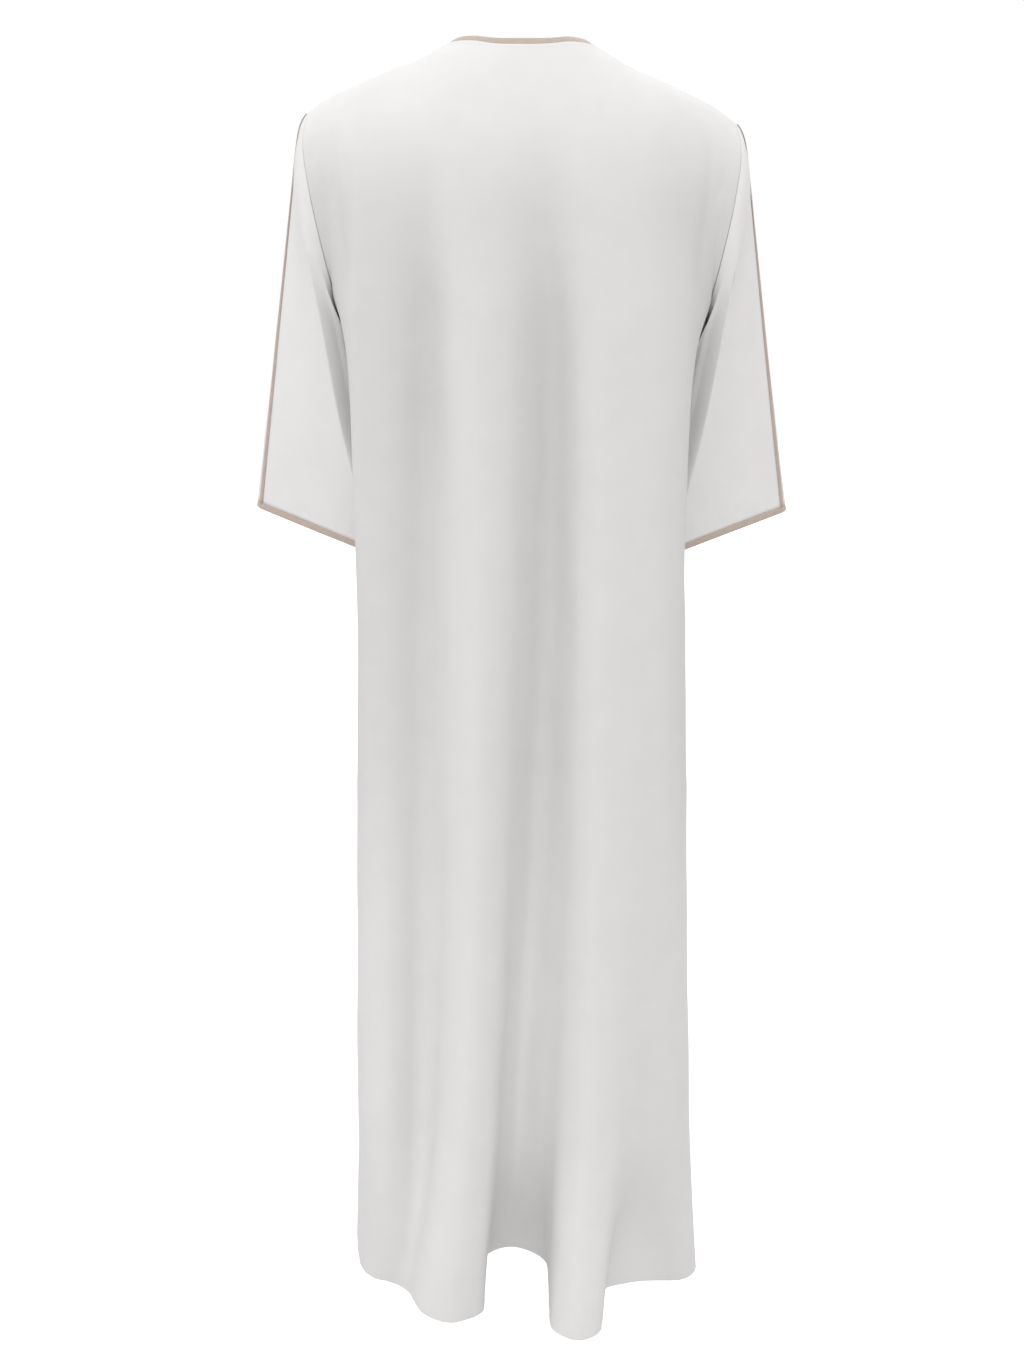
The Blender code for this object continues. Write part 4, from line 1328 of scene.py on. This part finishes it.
class RobeStitches(PropertyGroup):
    """The sewing thread and how it is laid."""

    length: FloatProperty(
        name="Stitch length", description="How long each stitch is",
        default=2.2 * MM, min=1 * MM, max=5 * MM, precision=5, subtype="DISTANCE", unit="LENGTH",
    )
    gap: FloatProperty(
        name="Stitch gap", description="How far apart the stitches of a row are",
        default=0.8 * MM, min=0.2 * MM, max=3 * MM, precision=5, subtype="DISTANCE", unit="LENGTH",
    )
    thickness: FloatProperty(
        name="Thread thickness", description="How thick the sewing thread is",
        default=0.35 * MM, min=0.1 * MM, max=1 * MM, precision=5, subtype="DISTANCE", unit="LENGTH",
    )
    white: FloatVectorProperty(
        name="White thread", description="Colour of the thread on the crepe",
        default=(0.78, 0.78, 0.77), min=0.0, max=1.0, size=3, subtype="COLOR",
    )
    beige: FloatVectorProperty(
        name="Beige thread", description="Colour of the thread on the tapes",
        default=(0.55, 0.44, 0.36), min=0.0, max=1.0, size=3, subtype="COLOR",
    )


class RobeStage(PropertyGroup):
    """The floor and the lights."""

    floor_drop: FloatProperty(
        name="Floor drop", description="How far the floor lies below the shoulders",
        default=1.5, min=1.4, max=2.5, subtype="DISTANCE", unit="LENGTH",
    )
    brightness: FloatProperty(
        name="Brightness", description="How strong all the lights together are",
        default=1.0, min=0.2, max=3.0, subtype="FACTOR",
    )


# Operators -------------------------------------------------------------------------------


class CutBody(Operator):
    """Cut and hem the back and the front"""

    bl_idname = "robe.cut_body"
    bl_label = "Cut back and front"

    def execute(self, context):
        cloth, sewing = context.scene.robe_cloth, context.scene.robe_stitches
        material = crepe(cloth)
        hems = []
        for name, side, creases, node, cut in BODY_PIECES:
            piece, line, outward = body_cloth(name, side, creases, material, cloth.thickness)
            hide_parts(node)
            hems.append((line, outward))
        white = thread("white_thread", sewing.white)
        stitches("hem_stitches", hems, white, sewing)
        return {"FINISHED"}


class CutSleeves(Operator):
    """Cut the back and front halves of both sleeves"""

    bl_idname = "robe.cut_sleeves"
    bl_label = "Cut sleeves"

    def execute(self, context):
        cloth = context.scene.robe_cloth
        material = crepe(cloth)
        for label in ("left", "right"):
            for side_name, creases, cut in SLEEVE_PIECES:
                piece = sleeve_cloth(label, side_name, creases, material, cloth.thickness)
                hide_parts(f"{label}_sleeve_{side_name}")
        return {"FINISHED"}


class BindNeck(Operator):
    """Fold the beige tape over the neck edge and stitch it"""

    bl_idname = "robe.bind_neck"
    bl_label = "Bind neck"

    def execute(self, context):
        tape, sewing = context.scene.robe_tape, context.scene.robe_stitches
        edge, way, normals = neck_frame()
        places, outward = swept(edge, way, normals, BINDING_PROFILE)
        satin = satin_tape(tape)
        piece = sheet_object("neck_tape", places, outward, satin, tape.thickness, closed=True)
        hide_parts("neck_binding")
        ring = np.concatenate((edge, edge[:1])), np.concatenate((way, way[:1]))
        on_tape = laid_on([piece], ring[0] + ring[1] * TAPE_STITCH)
        beige = thread("beige_thread", sewing.beige)
        stitches("neck_tape_stitches", [on_tape], beige, sewing)
        panels = [bpy.data.objects[name] for name, *_ in BODY_PIECES]
        on_cloth = laid_on(panels, ring[0] - ring[1] * NECK_STITCH)
        white = thread("white_thread", sewing.white)
        stitches("neck_stitches", [on_cloth], white, sewing)
        return {"FINISHED"}


class BindCuffs(Operator):
    """Fold the beige tape over both cuff edges and stitch it"""

    bl_idname = "robe.bind_cuffs"
    bl_label = "Bind cuffs"

    def execute(self, context):
        tape, sewing = context.scene.robe_tape, context.scene.robe_stitches
        for label in ("left", "right"):
            edge, way, normals = cuff_frame(label)
            places, outward = swept(edge, way, normals, BINDING_PROFILE)
            name = f"{label}_cuff_tape"
            satin = satin_tape(tape)
            piece = sheet_object(name, places, outward, satin, tape.thickness, closed=True)
            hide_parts(f"{label}_cuff_binding")
            line = np.concatenate((edge + way * TAPE_STITCH, edge[:1] + way[:1] * TAPE_STITCH))
            beige = thread("beige_thread", sewing.beige)
            stitches(f"{name}_stitches", [laid_on([piece], line)], beige, sewing)
        return {"FINISHED"}


class PipeArms(Operator):
    """Lay the beige tape over both over-arm seams and stitch it"""

    bl_idname = "robe.pipe_arms"
    bl_label = "Tape over-arm seams"

    def execute(self, context):
        tape, sewing = context.scene.robe_tape, context.scene.robe_stitches
        for label in ("left", "right"):
            piece = arm_tape(label, satin_tape(tape), tape.thickness)
            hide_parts(f"{label}_arm_piping")
            seam, to_back, to_front, normals = arm_frame(label)
            above = seam + normals * ARM_TAPE_RISE
            rows = [laid_on([piece], above + way * ARM_STITCH) for way in (to_back, to_front)]
            beige = thread("beige_thread", sewing.beige)
            stitches(f"{label}_arm_tape_stitches", rows, beige, sewing)
        return {"FINISHED"}


class SetStage(Operator):
    """Put the floor, the camera and the lights in place"""

    bl_idname = "robe.set_stage"
    bl_label = "Set stage"

    def execute(self, context):
        settings = context.scene.robe_stage
        context.scene.view_settings.view_transform = "Standard"
        context.scene.camera = stage_camera()
        stage_floor(settings.floor_drop)
        context.scene.world = stage_sky(settings.brightness)
        for name, come_from, angle, strength in LIGHTS:
            light_data = bpy.data.lights.new(name, "SUN")
            light_data.angle = math.radians(angle)
            light_data.energy = strength * settings.brightness
            light = bpy.data.objects.new(name, light_data)
            light.rotation_euler = (-Vector(come_from)).to_track_quat("-Z", "Y").to_euler()
            context.scene.collection.objects.link(light)
        return {"FINISHED"}


def stage_camera():
    """A camera behind the robe, about as high as its chest, that looks slightly down."""
    camera_data = bpy.data.cameras.new("camera")
    camera_data.sensor_fit = "VERTICAL"
    camera_data.sensor_height = SENSOR_HEIGHT
    camera_data.lens = LENS
    camera = bpy.data.objects.new("camera", camera_data)
    camera.location = CAMERA_PLACE
    camera.rotation_euler = (math.pi / 2 - CAMERA_FALL, 0, math.pi)
    bpy.context.scene.collection.objects.link(camera)
    return camera


def stage_floor(drop):
    """A pale floor that glows to the camera, and takes a faint shadow under the hem."""
    shape = bmesh.new()
    bmesh.ops.create_grid(shape, x_segments=1, y_segments=1, size=FLOOR_HALF)
    bmesh.ops.translate(shape, verts=shape.verts, vec=(0, 0, -drop))
    mesh = bpy.data.meshes.new("floor")
    shape.to_mesh(mesh)
    shape.free()
    floor = bpy.data.objects.new("floor", mesh)
    bpy.context.scene.collection.objects.link(floor)
    material = bpy.data.materials.new("floor")
    material.use_nodes = True
    nodes, links = material.node_tree.nodes, material.node_tree.links
    shader = nodes["Principled BSDF"]
    shader.inputs["Base Color"].default_value = FLOOR_COLOUR
    shader.inputs["Roughness"].default_value = FLOOR_ROUGHNESS
    shader.inputs["Specular IOR Level"].default_value = 0.0
    shader.inputs["Emission Color"].default_value = WHITE
    far = nodes.new("ShaderNodeVectorMath")
    far.operation = "LENGTH"
    glow = nodes.new("ShaderNodeMapRange")
    for end, values in (("From", FLOOR_GLOW_REACH), ("To", FLOOR_GLOW)):
        for bound, value in zip(("Min", "Max"), values):
            glow.inputs[f"{end} {bound}"].default_value = value
    shown = nodes.new("ShaderNodeMath")
    shown.operation = "MULTIPLY"
    links.new(nodes.new("ShaderNodeTexCoord").outputs["Object"], far.inputs[0])
    links.new(far.outputs["Value"], glow.inputs["Value"])
    links.new(glow.outputs["Result"], shown.inputs[0])
    links.new(nodes.new("ShaderNodeLightPath").outputs["Is Camera Ray"], shown.inputs[1])
    links.new(shown.outputs[0], shader.inputs["Emission Strength"])
    mesh.materials.append(material)


def stage_sky(brightness):
    """A white studio that is seen white, and lights the robe softly from all round."""
    world = bpy.data.worlds.new("studio")
    world.use_nodes = True
    nodes, links = world.node_tree.nodes, world.node_tree.links
    lighting, seen = nodes["Background"], nodes.new("ShaderNodeBackground")
    lighting.inputs["Color"].default_value = WHITE
    lighting.inputs["Strength"].default_value = SKY_LIGHT * brightness
    seen.inputs["Color"].default_value = WHITE
    seen.inputs["Strength"].default_value = 1.0
    mix = nodes.new("ShaderNodeMixShader")
    links.new(nodes.new("ShaderNodeLightPath").outputs["Is Camera Ray"], mix.inputs["Fac"])
    links.new(lighting.outputs[0], mix.inputs[1])
    links.new(seen.outputs[0], mix.inputs[2])
    links.new(mix.outputs[0], nodes["World Output"].inputs["Surface"])
    return world


class ROBE_PT_tools(Panel):
    """Lists the pieces of the robe in the order in which they are made"""

    bl_label = "Thobe robe"
    bl_idname = "ROBE_PT_tools"
    bl_space_type = "VIEW_3D"
    bl_region_type = "UI"
    bl_category = "Robe"

    def draw(self, context):
        scene = context.scene
        for heading, settings in (
            ("Cloth", scene.robe_cloth), ("Tape", scene.robe_tape),
            ("Stitches", scene.robe_stitches), ("Stage", scene.robe_stage),
        ):
            box = self.layout.box()
            box.label(text=heading)
            for name in settings.__annotations__:
                box.prop(settings, name)
        for step in STEPS:
            self.layout.operator(step.bl_idname)


SETTINGS = {
    "robe_cloth": RobeCloth,
    "robe_tape": RobeTape,
    "robe_stitches": RobeStitches,
    "robe_stage": RobeStage,
}
STEPS = (CutBody, CutSleeves, BindNeck, BindCuffs, PipeArms, SetStage)


def register():
    for kind in (*SETTINGS.values(), *STEPS, ROBE_PT_tools):
        bpy.utils.register_class(kind)
    for name, kind in SETTINGS.items():
        setattr(bpy.types.Scene, name, PointerProperty(type=kind))


def unregister():
    for name in SETTINGS:
        delattr(bpy.types.Scene, name)
    for kind in (ROBE_PT_tools, *reversed(STEPS), *reversed(SETTINGS.values())):
        bpy.utils.unregister_class(kind)


def main():
    register()
    bpy.ops.robe.cut_body()
    bpy.ops.robe.cut_sleeves()
    bpy.ops.robe.bind_neck()
    bpy.ops.robe.bind_cuffs()
    bpy.ops.robe.pipe_arms()
    bpy.ops.robe.set_stage()


if __name__ == "__main__":
    main()
